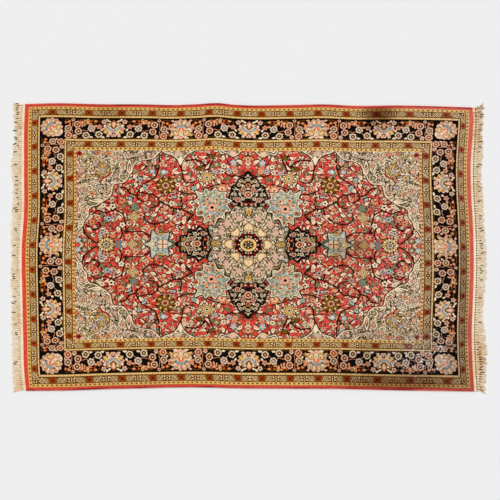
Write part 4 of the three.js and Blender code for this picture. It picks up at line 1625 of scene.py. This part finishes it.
# %% Where the bundles lie
# Each end also gives how far out, in mm, the fine near-black yarns of painted shade start, and along it the
# share of gaps whose pair is bold.
FRINGE = {
    "west": {"way": -1, "bundles": 138, "north_fan": 4, "south_fan": 10, "shading_from": (3, 8), "feet": 0.26,
             "reach": [(-606, 45), (-480, 41), (-290, 39), (-230, 36), (-150, 40), (-40, 33),
                       (100, 45), (250, 39), (345, 46), (460, 32), (606, 45)],
             "shading_share": [(-606, 0.1), (-300, 0.2), (0, 0.3), (300, 0.3), (606, 0.7)]},
    "east": {"way": 1, "bundles": 115, "north_fan": 20, "south_fan": 14, "shading_from": (8, 16), "feet": 0.15,
             "reach": [(-606, 38), (-410, 55), (-285, 38), (-80, 46), (150, 41), (240, 43),
                       (317, 37), (400, 42), (505, 33), (606, 40)],
             "shading_share": [(-606, 0.9), (-450, 0.8), (-330, 0.2), (-150, 0.2), (0, 0.5), (250, 0.3), (606, 0.3)]},
}
CLUMPS = [3, 5, 2, 4, 6, 3, 2, 5]  # bundles that cling together, over and over
CLING = 0.2  # of a pitch, how far each leans for every place from its clump's middle
FANNED = 5  # bundles that fan out at a corner
UNEVEN = 3  # mm above and below the end's curve


def bundle_places(end, copies=1):
    """Columns of an end's feet, leans and reaches in mm, from south to north, and the bundles' pitch."""
    number = np.arange(end["bundles"])
    pitch = RUG_WIDTH / end["bundles"]
    foot = (number + 0.5) * pitch - RUG_WIDTH / 2
    clumps = np.resize(CLUMPS, end["bundles"])
    from_middle = np.concatenate([(clump - 1) / 2 - np.arange(clump) for clump in clumps])[: len(number)]
    near_south = np.clip(1 - number / FANNED, 0, 1)
    lean = from_middle * pitch * CLING
    lean += end["north_fan"] * near_south[::-1] ** 2 - end["south_fan"] * near_south**2
    reach = curve_through(end["reach"], foot) + UNEVEN * np.sin(number * 2.4)
    return *(np.repeat(values, copies)[:, None] for values in (foot, lean, reach)), pitch


print("bundles", {name: end["bundles"] for name, end in FRINGE.items()})

# %% Copies of one yarn or one knot


def copies_of(bm, count, name, material, place):
    """An object of many copies, each put in its place by a function of the copies' points."""
    one = new_piece(bm, name, material)
    copying = one.modifiers.new("copies", "ARRAY")
    copying.count = count
    copying.use_relative_offset = False
    view = bpy.context.evaluated_depsgraph_get()
    mesh = bpy.data.meshes.new_from_object(one.evaluated_get(view))
    one.modifiers.clear()
    one.data = mesh
    points = np.empty(len(mesh.vertices) * 3)
    mesh.vertices.foreach_get("co", points)
    placed = place(points.reshape(count, -1, 3))
    mesh.vertices.foreach_set("co", lay_down(placed.reshape(-1, 3)).ravel())
    mesh.update()
    return one


print("copies for", sum(end["bundles"] for end in FRINGE.values()), "bundles")

# %% [markdown]
# In what follows, a strand is a tube of length 1, and its copies are rows of points. The sizes of the
# copies stand in columns, so that each goes with its own row. A strand's middle line is counted out
# from just inside the web, and its tips are tapered.

# %% Strands
YARN_START = WEB_END - 0.8
KNOT_START, KNOT_END = 3.2, 9.2
LEAN_POWER = 1.3  # of the share of the way to the tip, so that the lean sets in softly


def past_knot(out, reach):
    """The share of the way from the knots to the tips, and 0 before it."""
    return np.clip((out - KNOT_END) / (reach - KNOT_END), 0, None)


def round_strands(end, out, y, z, radius, points):
    """Where a tube's points go, given its middle line, counted out from the web, and its radius."""
    x = end["way"] * (YARN_START + out)
    return np.stack([x, y + end["way"] * radius * points[:, :, 1], z + radius * points[:, :, 2]], axis=2)


print("strands start", YARN_START, "mm from the middle")

# %% The last wefts
# The last wefts are near-black cotton, painted shade in the row between web and knots.
WEFTS_OUT = 3.7
WEFT_SWING, WEFT_RISE = 1.8, 0.5
WEFT_WIDTH, WEFT_HEIGHT = 2.0, 1.05
WEFT_MIDDLE = 1.7


def lay_wefts(end):
    """The function that lays the two last wefts of one end, twined round each other."""
    pitch = RUG_WIDTH / end["bundles"]

    def place(points):
        y = (points[:, :, 0] - 0.5) * (RUG_WIDTH - 2)
        phase = np.pi * y / pitch + np.array([[0], [np.pi]])
        out = WEFTS_OUT + WEFT_SWING * np.cos(phase) + WEFT_WIDTH * points[:, :, 1]
        z = WEFT_MIDDLE + WEFT_RISE * np.sin(phase) + WEFT_HEIGHT * points[:, :, 2]
        return np.stack([end["way"] * (YARN_START + out), y, z], axis=2)

    return place


print("last wefts", WEFTS_OUT, "mm out")

# %% The yarns
YARNS = 8  # in a bundle
YARN_RADIUS = 0.95
LAYER_HEIGHT = 1.5
WEFTS_LIFT = 1.3  # of the yarns, where they pass over the last wefts


def lay_yarns(end, chance):
    """The function that lays all yarns of one end, from the web through the knot to the tip."""
    bundles = end["bundles"]
    foot, lean, reach, pitch = bundle_places(end, YARNS)
    count = foot.shape
    side = np.tile(np.linspace(-1, 1, YARNS), bundles)[:, None] + chance.normal(0, 0.12, count)
    layer = np.tile(np.arange(YARNS) % 2, bundles)[:, None]
    length = reach * (1 - 0.16 * chance.random(count) ** 2) + chance.normal(0, 0.8, count)
    bend = chance.normal(0, 2.0, count) + np.repeat(chance.normal(0, 1.2, (bundles, 1)), YARNS, axis=0)
    phase = chance.random(count) * 2 * np.pi
    thick = YARN_RADIUS * chance.uniform(0.85, 1.15, count)
    widths = [0, 5, 8, 13, 20, 60], [end["feet"], end["feet"], 0.26, 0.42, 0.52, 0.6]
    lifts = [0, 6, 14, 60], [0.5, 1.2, 0.9, 0.35]

    def place(points):
        u = points[:, :, 0]
        out = u * length
        t = past_knot(out, reach)
        y = foot + lean * t**LEAN_POWER + side * (np.interp(out, *widths) * pitch)
        y += bend * t**2 + 0.35 * np.sin(out / 3.1 + phase) * np.minimum(t * 4, 1)
        radius = thick * np.interp(u, [0, 0.8, 1], [1, 0.95, 0.45])
        over_wefts = WEFTS_LIFT * np.clip(1 - np.abs(out - WEFTS_OUT) / 3.2, 0, 1)
        z = radius + layer * LAYER_HEIGHT * np.interp(out, *lifts) + over_wefts
        return round_strands(end, out, y, z, radius, points)

    return place


print("yarns", {name: end["bundles"] * YARNS for name, end in FRINGE.items()})

# %% The near-black yarns of painted shade
BOLD_RADIUS, FINE_RADIUS = 1.05, 0.6
SHADING_HEIGHT = 2.0


def lay_shading(end, chance):
    """The function that lays a pair of near-black yarns, painted shade, in each gap between two bundles."""
    gaps = (end["bundles"], 1)
    foot, lean, reach, pitch = bundle_places(end, 2)
    bold = chance.random(gaps) < curve_through(end["shading_share"], foot[::2])
    start = np.where(bold, chance.uniform(10, 20, gaps), chance.uniform(*end["shading_from"], gaps))
    length = np.where(bold, chance.uniform(12, 24, gaps), chance.uniform(6, 14, gaps))
    slant = chance.normal(0, 2.6, gaps)
    thick = np.where(bold, BOLD_RADIUS, FINE_RADIUS)
    start, length, slant, thick = (np.repeat(values, 2, axis=0) for values in (start, length, slant, thick))
    length *= chance.uniform(0.8, 1, length.shape)
    side = np.tile([[-0.8], [0.8]], gaps) * thick

    def place(points):
        u = points[:, :, 0]
        out = start + u * length
        y = foot + pitch / 2 + lean * past_knot(out, reach) ** LEAN_POWER + side + slant * (u - 0.5)
        radius = thick * np.interp(u, [0, 0.1, 0.9, 1], [0.5, 1, 1, 0.5])
        z = radius + SHADING_HEIGHT * np.sin(np.pi * u) ** 0.6
        return round_strands(end, out, y, z, radius, points)

    return place


print("pairs of grimed yarns", {name: end["bundles"] for name, end in FRINGE.items()})

# %% The knots
KNOT_HEIGHT = 4.3
KNOT_SWELL = 0.13  # of a pitch, to each side of the bundle's foot


def lay_knots(end, chance):
    """The function that lays the knots of one end: two wraps of yarn with a groove between."""
    foot, _, _, pitch = bundle_places(end)
    shift = chance.normal(0, 0.5, foot.shape)
    size = chance.uniform(0.92, 1.05, foot.shape)

    def place(points):
        u = points[:, :, 0]
        radius = size * np.interp(u, [0, 0.2, 0.4, 0.55, 0.75, 1], [0.35, 0.95, 1, 0.86, 0.98, 0.4])
        x = end["way"] * (WEB_END + KNOT_START + shift + u * (KNOT_END - KNOT_START))
        y = foot + end["way"] * (end["feet"] + KNOT_SWELL) * pitch * radius * points[:, :, 1]
        z = KNOT_HEIGHT / 2 * (1 + radius * points[:, :, 2])
        return np.stack([x, y, z], axis=2)

    return place


print("knots", KNOT_END - KNOT_START, "mm long")

# %% The pieces of the fringe
for number, (name, end) in enumerate(FRINGE.items()):
    chance = np.random.default_rng(23 + number)
    yarns = copies_of(tube(5, 9), end["bundles"] * YARNS, "yarns_" + name, cotton, lay_yarns(end, chance))
    knots = copies_of(tube(8, 6), end["bundles"], "knots_" + name, cotton, lay_knots(end, chance))
    # The near-black yarns in the gaps and the near-black last wefts are painted shade.
    in_gaps = lay_shading(end, chance)
    shading = copies_of(tube(6, 9), end["bundles"] * 2, "shading_yarns_" + name, shade_cotton, in_gaps)
    laid = [yarns, knots, shading]
    if end["way"] > 0:
        wefts = copies_of(tube(6, end["bundles"] * 6), 2, "last_wefts_" + name, shade_cotton, lay_wefts(end))
        wefts.data.flip_normals()
        laid.append(wefts)
    for piece in laid:
        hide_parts("fringe_" + name)
        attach(piece, "root")
        print(piece.name, len(piece.data.polygons), "faces")
